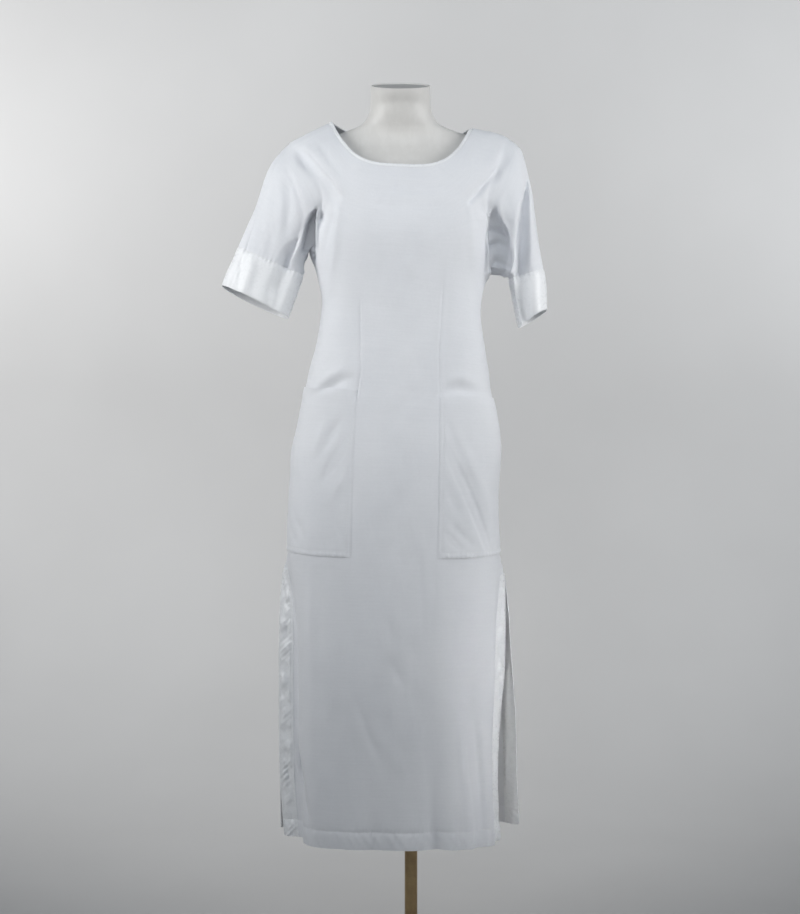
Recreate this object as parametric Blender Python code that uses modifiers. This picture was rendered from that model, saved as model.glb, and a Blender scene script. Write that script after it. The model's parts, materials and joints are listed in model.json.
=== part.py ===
"""
White t-shirt dress with cut-on sleeves, worn by a limbless dress form on a pole stand.

Frame: metres, +Z up, the dress faces -Y, +X is on the viewer's right when the front is seen.
The origin is on the floor, under the middle of the round base, on the pole's axis.

The cloth is one skin of 1.6 mm wall.  It is laid out as a grid: rows go round the figure from
the left side seam to the right one, and columns run from the hem up to the neckline and the
shoulder ridge.  Each sleeve goes on from the ends of the upper rows, as rings from the armhole
to the cuff seam and on to the cuff's lower edge.  Front and back are cut apart at the side
seams, the shoulder and overarm seams and the underarm seams, 0.3 mm apart.
"""
import bpy
import bmesh
import math
import numpy as np

# ------------------------------------------------------------------ driving sizes (mm)
MM = 0.001
WALL = 1.6              # wall of the dress cloth, with its turnings
CUFF_WALL = 2.0         # folded double cuff
PATCH_WALL = 1.3        # pocket patches and turned-up hems
GAP = 0.3               # between neighbouring pieces
HEM_Z = 250.0           # front hem above the floor
HEM_TURN = 28.0         # height of the turned-up hem
BAND_W = 28.0           # width of the bands along the side slits
BIND_W = 5.0            # width of the neck binding
BIND_T = 2.4            # its thickness
POLE_R = 10.8           # radius of the stand's pole
BASE_R = 165.0          # radius of the round base
BASE_H = 13.0           # its height at the middle
FORM_X = -17.0          # the form's middle plane, beside the pole's axis
RIDGE_Y = 6.0           # shoulder ridge, front to back

# shoulder points: x, z of neck point, of sleeve point, and of the underarm point
HP = {-1: (-134.5, 1456.7), 1: (100.5, 1446.4)}
SP = {-1: (-206.3, 8.0, 1421.5), 1: (165.5, 8.0, 1428.3)}
UA = {-1: (-173.4, 0.0, 1234.6), 1: (134.3, 0.0, 1197.0)}

# grid: columns (whole width) and where the named columns are
COLS = 24
C_BAND, C_NECK, C_DART = 1, 4, 7
# rows: z on the left and on the right side, and the rows up to the next line
ROWS = [("hem", HEM_Z, HEM_Z, 1), ("hem stitch", HEM_Z + HEM_TURN, HEM_Z + HEM_TURN, 7),
        ("slit top", 697.0, 687.0, 1),
        ("pocket foot", 724.0, 719.0, 7), ("pocket mouth", 1001.0, 983.0, 6),
        ("underarm", 1234.6, 1197.0, 0)]
N_UP = 10               # rows from the underarm to the shoulder, and round half a sleeve
N_SLEEVE = 6            # rings from the armhole to the cuff seam
N_CUFF = 3              # rings of the cuff


def table(cols, *rows):
    a = np.array(rows, float)
    return {c: a[:, k] for k, c in enumerate(cols.split())}


def pchip(xs, ys, x):
    """Smooth curve through table points that never overshoots them."""
    x = np.asarray(x, float)
    h = np.diff(xs)
    d = np.diff(ys) / h
    m = np.zeros(len(xs))
    m[0], m[-1] = d[0], d[-1]
    for k in range(1, len(xs) - 1):
        if d[k - 1] * d[k] > 0:
            w1, w2 = 2 * h[k] + h[k - 1], h[k] + 2 * h[k - 1]
            m[k] = (w1 + w2) / (w1 / d[k - 1] + w2 / d[k])
    x = np.clip(x, xs[0], xs[-1])
    i = np.clip(np.searchsorted(xs, x, side="right") - 1, 0, len(xs) - 2)
    t = (x - xs[i]) / h[i]
    return ((2 * t ** 3 - 3 * t ** 2 + 1) * ys[i] + (t ** 3 - 2 * t ** 2 + t) * h[i] * m[i]
            + (-2 * t ** 3 + 3 * t ** 2) * ys[i + 1] + (t ** 3 - t ** 2) * h[i] * m[i + 1])


def look(tab, col, x):
    return pchip(tab[list(tab)[0]], tab[col], x)


def step(x, a, b):
    t = np.clip((np.asarray(x, float) - a) / (b - a), 0, 1)
    return t * t * (3 - 2 * t)


# side outline of the dress: the seam line down to the slits, then the panels' edges
# (the flare is how far a free edge turns outwards past the round of the panel)
FRONT_EDGE = table("z left right yleft yright flare_l flare_r",
                   (250, -185, 148, -11, -27, 27, 0), (338, -190, 145, -9, -25, 29, 0),
                   (390, -193, 146.5, -8, -22, 28, 0), (460, -197, 149, -6, -18, 25, 3),
                   (530, -200, 151, -4, -12, 23, 8), (628, -203, 151, -2, -5, 19.6, 10),
                   (690, -206, 150, 0, 0, 12, 8), (728, -209.2, 149.6, 0, 0, 0, 0),
                   (762, -208.3, 147.9, 0, 0, 0, 0), (813, -205.8, 147.1, 0, 0, 0, 0),
                   (847, -204.1, 148.8, 0, 0, 0, 0), (890, -202.4, 152.2, 0, 0, 0, 0),
                   (932, -193.9, 148.8, 0, 0, 0, 0), (966, -187, 142.8, 0, 0, 0, 0),
                   (1000, -179.4, 134.3, 0, 0, 0, 0), (1034, -172.6, 130.9, 0, 0, 0, 0),
                   (1068, -163.2, 125.8, 0, 0, 0, 0), (1102, -156.4, 120.7, 0, 0, 0, 0),
                   (1136, -150.5, 115.6, 0, 0, 0, 0), (1155, -147.5, 114.2, 0, 0, 0, 2),
                   (1175, -149.5, 118, 0, 0, 1.5, 5), (1197, -153, 122, 0, 0, 5, 12.3),
                   (1234.6, -157, 126, 0, 0, 16.4, 0), (1262, -158, 128, 0, 0, 0, 0),
                   (1285, -159, 131, 0, 0, 0, 0), (1305, -163, 138, 0, 0, 0, 0),
                   (1340, -182, 152, 0, 0, 0, 0), (1380, -202, 168, 0, 0, 0, 0),
                   (1425, -216, 181, 0, 0, 0, 0), (1460, -222, 187, 0, 0, 0, 0))
BACK_EDGE = dict(FRONT_EDGE)
_low = table("z left right yleft yright flare_l flare_r",
             (250, -204, 150, 30, 50, 21, 35.5), (338, -204, 150, 28, 46, 21, 33.5),
             (390, -204, 150, 26, 43, 20, 32), (460, -204, 150, 23, 38, 19.5, 29),
             (530, -204, 151, 19, 30, 18, 24), (628, -204, 151, 10, 12, 16, 14),
             (690, -206, 150, 0, 0, 12, 8))
for _c in BACK_EDGE:
    BACK_EDGE[_c] = np.concatenate([_low[_c], FRONT_EDGE[_c][7:]])

# depth at the middle of the front and of the back, and how full the section is
FRONT_DEPTH = table("z y n",
                    (250, -142, 3.5), (390, -138, 3.3), (530, -134, 3.1), (690, -130, 2.8),
                    (800, -127, 2.7), (890, -123, 2.6), (966, -117, 2.5), (1034, -112, 2.5),
                    (1102, -109, 2.5), (1153, -110, 2.5), (1200, -115, 2.6), (1255, -119, 2.7),
                    (1300, -113, 2.8), (1340, -101, 2.8), (1370, -90, 2.7), (1400, -78, 2.5),
                    (1430, -66, 2.4), (1460, -56, 2.4))
BACK_DEPTH = table("z y n",
                   (250, 121, 3.2), (390, 119, 3.0), (530, 119, 2.9), (690, 122, 2.8),
                   (850, 125, 2.6), (930, 116, 2.5), (1034, 97, 2.5), (1102, 92, 2.5),
                   (1153, 94, 2.5), (1250, 103, 2.6), (1330, 103, 2.6), (1380, 94, 2.5),
                   (1430, 76, 2.4), (1460, 62, 2.4))

# the line of the waist darts, which is also the pockets' inner edge
DART = table("z left right", (250, -101, 41), (722, -98.3, 43), (985, -90, 46.5),
             (1034, -84, 45.5), (1153, -84.7, 52), (1235, -86, 53), (1385, -88, 54))

# main soft folds of the skirt: x at the hem and at its upper end, height, depth (+ inwards)
SKIRT_FOLDS = table("x0 x1 z0 z1 depth width",
                    (40, 30, 200, 520, 13, 17), (70, 66, 200, 480, -7, 13),
                    (112, 98, 215, 460, 13, 13), (-62, -70, 200, 420, 5, 20),
                    (-120, -112, 200, 560, 5, 18), (-12, -20, 200, 600, -4, 22))
BACK_FOLDS = table("x0 x1 z0 z1 depth width",
                   (-130, -110, 200, 560, 10, 18), (-84, -80, 200, 480, -6, 16),
                   (-40, -36, 200, 620, 9, 18), (20, 10, 200, 520, -6, 18),
                   (62, 50, 200, 600, 10, 18), (118, 100, 200, 480, 8, 14))
# drag folds of the upper front and back, from a to b: trough depth, width
DRAG_FOLDS = table("xa za xb zb depth width",
                   (-192, 1402, -124, 1302, 5.0, 8), (-176, 1404, -112, 1318, -2.5, 7),
                   (163, 1392, 92, 1302, 4.5, 8), (150, 1404, 82, 1322, -2.0, 7))

# the armhole line on the body, from the underarm point to the shoulder
ARMHOLE = table("z left right", (1197, -173.4, 134.3), (1222, -173.4, 130.5),
                (1234.6, -173.4, 129.4), (1250, -168.2, 128.6), (1264, -163.2, 128.2),
                (1276, -159.5, 128.2), (1287, -154.5, 127.5), (1298, -149.5, 127),
                (1312, -147.5, 127.5), (1335, -153, 132), (1365, -169, 142), (1395, -188, 153),
                (1421.5, -206.3, 162.5), (1428.3, -206.3, 165.5))

# sleeves: rings by their middle, by the arm to the underarm end, and by the bulges to front
# and back; t is 0 at the armhole, 1 at the cuff seam, 2 at the cuff's lower edge; seam is
# where the overarm seam lies round the ring (degrees from the underarm seam), and the web
# is the part beside the underarm seam that stays back between the sleeve and the body
SLEEVE = {
    -1: table("t cx cy cz mx my mz fx fy fz bx by bz seam web",
              (0, -189.9, 4, 1328, 16.5, -4, -93.4, 42, -88, -6, 38, 76, -4, 180, 62),
              (0.22, -205.3, -4, 1300, 29.5, 0, -78, 28, -72, 2, 22, 60, 1, 172, 36),
              (0.5, -221, -12, 1266, 37.5, 0, -55, 17, -52, 9, 14, 46, 6, 161, 8),
              (1, -235.8, -35, 1215.3, 54.3, 0, -23.5, -2, -28, -2, 2, 28, -3, 136, -30),
              (2, -262.3, -36, 1146.4, 55.6, 0, -26.9, 0, -30, 3, 0, 30, -5, 136, -30)),
    1: table("t cx cy cz mx my mz fx fy fz bx by bz seam web",
             (0, 149.9, 4, 1312.7, -15.6, -4, -115.7, -20, -88, 0, -22, 76, -4, 180, 72),
             (0.15, 161.7, 1, 1302.5, -24.2, 0, -107, -14, -78, 0, -18, 66, 0, 180, 68),
             (0.3, 170.1, -2, 1283.5, -27.2, 0, -88.9, -8, -67, 0, -14, 57, 2, 180, 63),
             (0.5, 178.8, -6, 1257.7, -28.3, 0, -64.7, -3, -54, 0, -10, 46, 4, 179, 52),
             (0.75, 186.6, -10, 1221.6, -28.5, 0, -32.1, 0, -44, 0, -4, 40, 2, 178, 20),
             (1, 194.3, -14, 1195, -29.4, 0, -8, 0, -36, -2, 2, 36, 0, 177, -30),
             (2, 206, -14, 1118.8, -24, 0, -14.8, 0, -36, 4, 2, 36, 0, 177, -30)),
}
# the deep fold down the right sleeve: where it lies round the ring, its depth and its width,
# and the ridge before it (degrees, mm)
SLEEVE_FOLD = table("t deg depth width ridge_deg ridge",
                    (0, 170, 0, 26, 140, 0), (0.25, 156, 3, 26, 122, 1),
                    (0.4, 124, 8, 26, 92, 3), (0.5, 106, 11, 26, 74, 4),
                    (0.75, 82, 13, 26, 46, 6), (1, 68, 13, 26, 32, 8), (2, 58, 12, 26, 26, 7))
WEB = 5.2               # least depth between the skin and the underarm seam's plane, each side


def ridge_z(x):
    """Height of the shoulder ridge, carried on straight across the neck."""
    x = np.asarray(x, float)
    xl, zl = HP[-1]
    xr, zr = HP[1]
    left = zl - (xl - x) * (zl - SP[-1][2]) / (xl - SP[-1][0])
    right = pchip(np.array([xr, 160.4, SP[1][0], 200.0]),
                  np.array([zr, 1431.7, SP[1][2], 1398.0]), x)
    mid = zl + (zr - zl) * (x - xl) / (xr - xl)
    return np.where(x < xl, left, np.where(x > xr, right, mid))


def neck_z(x, back, margin):
    """Height of the neckline; margin moves it outwards, off the opening."""
    x = np.asarray(x, float)
    xm = 0.5 * (HP[-1][0] + HP[1][0])
    half = 0.5 * (HP[1][0] - HP[-1][0]) + margin
    X = np.clip(np.abs(x - xm) / half, 0, 1)
    drop, n = (24.0, 2.0) if back else (82.0, 3.6)
    return ridge_z(x) - (drop + margin) * (1 - X ** n) + (0 if back else 0.02 * margin)


def top_z(x, back):
    x = np.asarray(x, float)
    m = BIND_W + GAP
    inside = (x > HP[-1][0] - m) & (x < HP[1][0] + m)
    return np.where(inside, neck_z(x, back, m), ridge_z(x))


def low_z(x):
    """The line across the body from one underarm point to the other."""
    t = np.clip((x - UA[-1][0]) / (UA[1][0] - UA[-1][0]), 0, 1)
    return UA[-1][2] + (UA[1][2] - UA[-1][2]) * t


def surface_y(x, z, back):
    """Depth of the front or the back at x, z, folds left out."""
    edge, depth = (BACK_EDGE, BACK_DEPTH) if back else (FRONT_EDGE, FRONT_DEPTH)
    xl, xr = look(edge, "left", z), look(edge, "right", z)
    yl, yr = look(edge, "yleft", z), look(edge, "yright", z)
    y0, n = look(depth, "y", z), look(depth, "n", z)
    xc, a = 0.5 * (xl + xr), 0.5 * (xr - xl)
    X = np.clip((x - xc) / a, -1, 1)
    ys = yl + (yr - yl) * step(X, -1, 1)
    y = ys + (y0 - ys) * (1 - np.abs(X) ** n) ** (1 / n)
    reach = 66.0 if back else 95.0
    h = np.clip((ridge_z(x) + 8 * (1 - np.clip(np.abs(x - FORM_X) / 117, 0, 1) ** 2) - z) / reach,
                0, 1)
    return RIDGE_Y + (y - RIDGE_Y) * np.sqrt(1 - (1 - h) ** 2)


def fold_push(x, z, back):
    """Inward push of the main folds at x, z."""
    out = np.zeros(np.shape(x))
    F = BACK_FOLDS if back else SKIRT_FOLDS
    for k in range(len(F["x0"])):
        t = np.clip((z - F["z0"][k]) / (F["z1"][k] - F["z0"][k]), 0, 1)
        xa = F["x0"][k] + (F["x1"][k] - F["x0"][k]) * t
        w = F["width"][k] * (0.7 + 0.3 * t)
        out += F["depth"][k] * (1 - t) ** 1.3 * np.exp(-((x - xa) / w) ** 2)
    F = DRAG_FOLDS
    for k in range(len(F["xa"])):
        dx, dz = F["xb"][k] - F["xa"][k], F["zb"][k] - F["za"][k]
        L = math.hypot(dx, dz)
        s = ((x - F["xa"][k]) * dx + (z - F["za"][k]) * dz) / L
        d = ((x - F["xa"][k]) * dz - (z - F["za"][k]) * dx) / L
        ends = step(s, -12, 14) * (1 - step(s, L - 16, L + 12))
        out += F["depth"][k] * (0.8 if back else 1.0) * ends * np.exp(-(d / F["width"][k]) ** 2)
    return out


def ring(side, t, deg, back):
    """Points round a sleeve: deg 0 at the underarm, 180 at the outer end."""
    S = SLEEVE[side]
    th = np.radians(deg)
    g = {c: look(S, c, t) for c in S if c != "t"}
    b = "b" if back else "f"
    c, s = np.cos(th), np.abs(np.sin(th)) ** 0.86
    up = step(deg, g["web"] - 24, g["web"] + 12)
    p = [g["c" + k] + g["m" + k] * c + g[b + k] * s * (up if k == "y" else 1) for k in "xyz"]
    if side == 1 and not back:
        F = {c2: look(SLEEVE_FOLD, c2, t) for c2 in SLEEVE_FOLD if c2 != "t"}
        p[1] = p[1] + F["depth"] * np.exp(-((deg - F["deg"]) / F["width"]) ** 2)
        p[1] = p[1] - F["ridge"] * np.exp(-((deg - F["ridge_deg"]) / F["width"]) ** 2)
    return np.stack(p, axis=-1)


def half_ring(side, t, deg, back):
    """The ring by its own angle; the back half goes on past the outer end to the seam."""
    if not back:
        return ring(side, t, deg, False)
    behind = deg <= 180.0
    p = ring(side, t, np.where(behind, deg, 180.0), True)
    q = ring(side, t, np.where(behind, 180.0, 360.0 - deg), False)
    return np.where(behind[:, None], p, q)


def ring_angles(side, t, back, n):
    """n + 1 angles from the underarm seam to the overarm seam, about evenly spaced."""
    seam = float(look(SLEEVE[side], "seam", t))
    end = 360.0 - seam if back else seam
    deg = np.linspace(0, end, 361)
    p = half_ring(side, t, deg, back)
    s = np.concatenate([[0], np.cumsum(np.sqrt((np.diff(p, axis=0) ** 2).sum(axis=1)))])
    mix = 0.8 * s / s[-1] + 0.2 * deg / end
    return np.interp(np.arange(n + 1) / n, mix, deg)


def sleeve_point(side, t, back, n):
    """One half ring, from the underarm seam to the overarm seam."""
    p = half_ring(side, t, ring_angles(side, t, back, n), back)
    # the armhole lies on the body's surface, and the rings after it ease away from there
    a = ring(side, 0.0, ring_angles(side, 0.0, back, n), back)
    x = look(ARMHOLE, "left" if side < 0 else "right", a[:, 2])
    ease = 1 - step(t, 0, 0.6)
    p[:, 0] += (x - a[:, 0]) * ease
    p[:, 1] += (surface_y(x, a[:, 2], back) - a[:, 1]) * ease
    # front and back stay apart beside the underarm seam
    s = np.sqrt(((p - p[0]) ** 2).sum(axis=1))
    lim = p[0, 1] + WEB * step(s, 0, 14) * (1 if back else -1)
    short = np.maximum(lim - p[:, 1], 0) if back else np.minimum(lim - p[:, 1], 0)
    p[:, 1] += short * (1 - step(s, 45, 90))
    return p


def resample(poly, idx, pos, n):
    """Points at n + 1 columns on a polyline; column idx[k] is at arc length pos[k]."""
    seg = np.sqrt((np.diff(poly, axis=0) ** 2).sum(axis=1))
    s = np.concatenate([[0], np.cumsum(seg)])
    at = np.interp(np.arange(n + 1), idx, pos)
    return np.stack([np.interp(at, s, poly[:, k]) for k in range(3)], axis=-1)


def arc_at_x(poly, x):
    seg = np.sqrt((np.diff(poly, axis=0) ** 2).sum(axis=1))
    s = np.concatenate([[0], np.cumsum(seg)])
    return float(np.interp(x, poly[:, 0], s)), float(s[-1])


# how the front's free edges turn beside the slits: dip of the panel, and edge drawn forward
TURN = table("z dip_l fore_l dip_r fore_r", (250, 6, 8, 13, 26), (400, 8, 11, 14, 26),
             (540, 9, 12, 14, 24), (620, 6, 8, 9, 15), (675, 2, 3, 3, 5), (715, 0, 0, 0, 0),
             (1500, 0, 0, 0, 0))


def low_row(zl, zr, back, scale):
    """A row below the underarm, between heights zl on the left and zr on the right."""
    u = np.linspace(-1, 1, 1201)
    X = np.sin(u * math.pi / 2)
    edge = BACK_EDGE if back else FRONT_EDGE
    z = zl + (zr - zl) * (X + 1) / 2
    xl, xr = look(edge, "left", z), look(edge, "right", z)
    x = 0.5 * (xl + xr) + 0.5 * (xr - xl) * X
    y = surface_y(x, z, back)
    poly = np.stack([x, y, z], axis=-1)
    seg = np.sqrt((np.diff(poly, axis=0) ** 2).sum(axis=1))
    s = np.concatenate([[0], np.cumsum(seg)])
    reach = 44.0
    poly[:, 0] -= look(edge, "flare_l", zl) * np.clip(1 - s / reach, 0, 1) ** 1.6
    poly[:, 0] += look(edge, "flare_r", zr) * np.clip(1 - (s[-1] - s) / reach, 0, 1) ** 1.6
    if not back:
        # beside the slits the panel dips in a little, then its free edges turn to the front
        for hand, e, zz, c in ((1, s, zl, "l"), (-1, s[-1] - s, zr, "r")):
            mid, wide = (34.0, 26.0) if hand > 0 else (38.0, 24.0)
            poly[:, 0] += hand * look(TURN, "dip_" + c, zz) * np.exp(-((e - mid) / wide) ** 2)
            poly[:, 1] -= look(TURN, "fore_" + c, zz) * np.exp(-(e / 48.0) ** 2)
    order = np.maximum.accumulate(poly[:, 0])
    poly[:, 0] = order + np.arange(len(order)) * 1e-9
    n = COLS * scale
    sd_l, total = arc_at_x(poly, float(look(DART, "left", zl)))
    sd_r, _ = arc_at_x(poly, float(look(DART, "right", zr)))
    free = 1 - step(zl, 697, 800)
    b_l = free * BAND_W + (1 - free) * sd_l * C_BAND / C_DART
    b_r = free * BAND_W + (1 - free) * (total - sd_r) * C_BAND / C_DART
    k = scale
    idx = [0, C_BAND * k, C_DART * k, n - C_DART * k, n - C_BAND * k, n]
    pos = [0, b_l, sd_l, sd_r, total - b_r, total]
    return resample(poly, idx, pos, n)


def high_row(q, n_up, back, scale):
    """A row above the underarm, from armhole to armhole; q counts up to the shoulder."""
    a = {s: sleeve_point(s, 0.0, back, n_up)[q] for s in (-1, 1)}
    w = {s: (a[s][2] - low_z(a[s][0])) / (ridge_z(a[s][0]) - low_z(a[s][0])) for s in (-1, 1)}
    if q == n_up:
        w = {-1: 1.0, 1: 1.0}
    if q == 0:
        w = {-1: 0.0, 1: 0.0}
    # the round of the body, then its ends drawn out to the armhole points
    edge = BACK_EDGE if back else FRONT_EDGE
    x0 = max(a[-1][0], float(look(edge, "left", a[-1][2])))
    x1 = min(a[1][0], float(look(edge, "right", a[1][2])))
    u = (1 - np.cos(np.linspace(0, math.pi, 1201))) / 2
    x = x0 + (x1 - x0) * u
    ww = w[-1] + (w[1] - w[-1]) * step(u, 0, 1)
    z = low_z(x) + (top_z(x, back) - low_z(x)) * ww
    y = surface_y(x, z, back)
    for s, end in ((-1, 0), (1, -1)):
        off = np.array([a[s][0] - x[end], a[s][1] - y[end], a[s][2] - z[end]])
        run = np.abs(x - x[end])
        x = x + off[0] * np.clip(1 - run / 40.0, 0, 1) ** 1.6
        y = y + off[1] * np.exp(-(run / 42.0) ** 2)
        z = z + off[2] * np.exp(-(run / 42.0) ** 2)
    poly = np.stack([x, y, z], axis=-1)
    n = COLS * scale
    k = scale
    sd_l, total = arc_at_x(poly, float(look(DART, "left", z[len(z) // 4])))
    sd_r, _ = arc_at_x(poly, float(look(DART, "right", z[len(z) // 4])))
    m = BIND_W + GAP
    sn_l, _ = arc_at_x(poly, HP[-1][0] - m)
    sn_r, _ = arc_at_x(poly, HP[1][0] + m)
    t = step(0.5 * (w[-1] + w[1]), 0.15, 1.0)
    n_l = (1 - t) * sd_l * C_NECK / C_DART + t * sn_l
    n_r = (1 - t) * (total - sd_r) * C_NECK / C_DART + t * (total - sn_r)
    idx = [0, C_NECK * k, C_DART * k, n - C_DART * k, n - C_NECK * k, n]
    pos = [0, n_l, sd_l, sd_r, total - n_r, total]
    return resample(poly, idx, pos, n)


def body_grid(back, scale=1):
    """All rows of a panel's body; returns the grid and the index of each named row."""
    rows, named = [], {}
    for k, (name, zl, zr, count) in enumerate(ROWS[:-1]):
        named[name] = len(rows)
        nl, nr = ROWS[k + 1][1], ROWS[k + 1][2]
        for j in range(count * scale):
            t = j / (count * scale)
            rows.append(low_row(zl + (nl - zl) * t, zr + (nr - zr) * t, back, scale))
    named["underarm"] = len(rows)
    n_up = N_UP * scale
    for q in range(n_up + 1):
        rows.append(high_row(q, n_up, back, scale))
    return np.array(rows), named


def push_folds(grid, normals, back):
    x, z = grid[..., 0], grid[..., 2]
    return grid - normals * fold_push(x, z, back)[..., None]


# ------------------------------------------------------------------ skin and its normals
def unit(v):
    return v / np.maximum(np.sqrt((v ** 2).sum(axis=-1, keepdims=True)), 1e-9)


class Skin:
    """Grids of points with outward normals shared where the grids meet."""

    def __init__(self):
        self.grids, self.flip = {}, {}

    def add(self, name, grid, flip):
        self.grids[name], self.flip[name] = grid, flip

    def normals(self):
        keys, vecs = [], []
        for name, g in self.grids.items():
            e1 = np.zeros_like(g)
            a, b, c, d = g[:-1, :-1], g[:-1, 1:], g[1:, 1:], g[1:, :-1]
            f = np.cross(c - a, d - b) * (-1 if self.flip[name] else 1)
            e1[:-1, :-1] += f
            e1[:-1, 1:] += f
            e1[1:, 1:] += f
            e1[1:, :-1] += f
            keys.append(np.round(g.reshape(-1, 3) * 100).astype(np.int64))
            vecs.append(e1.reshape(-1, 3))
        allk, allv = np.concatenate(keys), np.concatenate(vecs)
        _, inv = np.unique(allk, axis=0, return_inverse=True)
        inv = inv.reshape(-1)
        acc = np.zeros((inv.max() + 1, 3))
        np.add.at(acc, inv, allv)
        acc /= np.maximum(np.sqrt((acc ** 2).sum(axis=1)), 1e-12)[:, None]
        n, out, at = acc[inv], {}, 0
        for name, g in self.grids.items():
            m = g.shape[0] * g.shape[1]
            out[name] = n[at:at + m].reshape(g.shape)
            at += m
        return out


def build_skin(scale=1):
    skin = Skin()
    named = {}
    n_up, ns, nc = N_UP * scale, N_SLEEVE * scale, N_CUFF * scale
    for back, tag in ((False, "front"), (True, "back")):
        grid, named = body_grid(back, scale)
        skin.add(tag, grid, back)
        for side, lr in ((-1, "left"), (1, "right")):
            t = np.concatenate([np.arange(ns + 1) / ns, 1 + np.arange(1, nc + 1) / nc])
            rings = np.array([sleeve_point(side, v, back, n_up) for v in t])
            u = named["underarm"]
            rings[0] = grid[u:, 0 if side < 0 else -1]
            skin.add(tag + "_sleeve_" + lr, rings, (side > 0) != back)
    # the two halves meet on the same points along every closed seam
    s0, u = named["slit top"], named["underarm"]
    f, b = skin.grids["front"], skin.grids["back"]
    for col in (0, -1):
        m = 0.5 * (f[s0:u + 1, col] + b[s0:u + 1, col])
        f[s0:u + 1, col] = b[s0:u + 1, col] = m
    cn = C_NECK * scale
    for sl in (slice(0, cn + 1), slice(COLS * scale - cn, None)):
        m = 0.5 * (f[-1, sl] + b[-1, sl])
        f[-1, sl] = b[-1, sl] = m
    for lr, col in (("left", 0), ("right", -1)):
        sf, sb = skin.grids["front_sleeve_" + lr], skin.grids["back_sleeve_" + lr]
        sf[0], sb[0] = f[u:, col], b[u:, col]
        for q in (0, -1):
            m = 0.5 * (sf[:, q] + sb[:, q])
            sf[:, q] = sb[:, q] = m
    n = skin.normals()
    for tag, back in (("front", False), ("back", True)):
        for part in (tag, tag + "_sleeve_left", tag + "_sleeve_right"):
            g = skin.grids[part]
            push = fold_push(g[..., 0], g[..., 2], back)
            if part != tag:
                push[ns:] = 0.0
                push *= np.linspace(1, 0, g.shape[0])[:, None] ** 0.5
                push[:, 0] = push[:, -1] = 0.0
            else:
                push[-1] = 0.0
                push[s0:u + 1, 0] = push[s0:u + 1, -1] = 0.0
            skin.grids[part] = g - n[part] * push[..., None]
    for tag in ("front", "back"):
        for lr, col in (("left", 0), ("right", -1)):
            skin.grids[tag + "_sleeve_" + lr][0] = skin.grids[tag][u:, col]
    n = skin.normals()
    # at a sharply folded sleeve seam the wall goes inwards between the two halves
    for lr in ("left", "right"):
        f, b = "front_sleeve_" + lr, "back_sleeve_" + lr
        for q, nxt in ((0, 1), (-1, -2)):
            p = skin.grids[f][:, q]
            inward = unit(skin.grids[f][:, nxt] - p) + unit(skin.grids[b][:, nxt] - p)
            inward = 1.5 * inward - n[f][:, q]
            along = unit(np.gradient(p, axis=0))
            inward = unit(inward - along * (inward * along).sum(axis=1)[:, None])
            n[f][1:, q] = n[b][1:, q] = -inward[1:]
    return skin, n, named


# ------------------------------------------------------------------ solids
def material(name, colour, rough, metal=0.0, sheen=0.0):
    m = bpy.data.materials.new(name)
    m.use_nodes = True
    p = m.node_tree.nodes["Principled BSDF"]
    p.inputs["Base Color"].default_value = (*colour, 1)
    p.inputs["Roughness"].default_value = rough
    p.inputs["Metallic"].default_value = metal
    p.inputs["Sheen Weight"].default_value = sheen
    return m


class Shell:
    """A closed wall made of patches of grid, joined where their points agree."""

    def __init__(self, name, mat, smooth=True):
        self.name, self.mat = name, mat
        self.bm = bmesh.new()
        self.top, self.low = {}, {}
        self.smooth = smooth
        self.edges = {}

    def vert(self, book, p):
        key = tuple(np.round(p * 100).astype(int))
        if key not in book:
            book[key] = self.bm.verts.new(tuple(float(c) * MM for c in p))
        return book[key]

    def patch(self, outer, inner, flip, keep=None, at=0):
        """outer and inner are grids of points; flip turns the faces round; at is the sum of
        the grid's first row and column, so that layers on a panel split their quads alike."""
        ni, nj = outer.shape[:2]
        for i in range(ni - 1):
            for j in range(nj - 1):
                if keep is not None and not keep[i, j]:
                    continue
                quad = [(i, j), (i, j + 1), (i + 1, j + 1), (i + 1, j)]
                if flip:
                    quad = quad[::-1]
                o = [self.vert(self.top, outer[a]) for a in quad]
                n = [self.vert(self.low, inner[a]) for a in quad]
                cut = ((0, 1, 2), (0, 2, 3)) if (i + j + at) % 2 == (1 if flip else 0) else \
                    ((0, 1, 3), (1, 2, 3))
                for t in cut:
                    self.bm.faces.new([o[k] for k in t])
                    self.bm.faces.new([n[k] for k in reversed(t)])
                for k in range(4):
                    a, b = o[k], o[(k + 1) % 4]
                    e = (a, b)
                    if (b, a) in self.edges:
                        del self.edges[(b, a)]
                    else:
                        self.edges[e] = (n[k], n[(k + 1) % 4])

    def finish(self, coll):
        # the end faces of two walls that meet are split along the same diagonal
        for (a, b), (c, d) in self.edges.items():
            e = b.co - a.co
            if e.x + 0.37 * e.y + 0.61 * e.z > 0:
                self.bm.faces.new((b, a, c))
                self.bm.faces.new((b, c, d))
            else:
                self.bm.faces.new((b, a, d))
                self.bm.faces.new((a, c, d))
        me = bpy.data.meshes.new(self.name)
        self.bm.normal_update()
        self.bm.to_mesh(me)
        self.bm.free()
        if self.smooth:
            me.shade_smooth()
            me.set_sharp_from_angle(angle=math.radians(50))
        ob = bpy.data.objects.new(self.name, me)
        me.materials.append(self.mat)
        coll.objects.link(ob)
        return ob


def draw_in(g, lo=None, hi=None, left=None, right=None, d=GAP / 2):
    """Move the border points of a grid inwards by d, along the rows or the columns."""
    src, g = g, g.copy()
    if lo:
        g[0] += unit(src[1] - src[0]) * d
    if hi:
        g[-1] += unit(src[-2] - src[-1]) * d
    if left is not None:
        g[left, 0] += unit(src[left, 1] - src[left, 0]) * d
    if right is not None:
        g[right, -1] += unit(src[right, -2] - src[right, -1]) * d
    return g


def seam_dir(a, b, col, nxt):
    """Direction in which panel a leaves panel b at a seam that both have in column col."""
    return unit(unit(a[:, nxt] - a[:, col]) - unit(b[:, nxt] - b[:, col]))


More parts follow.
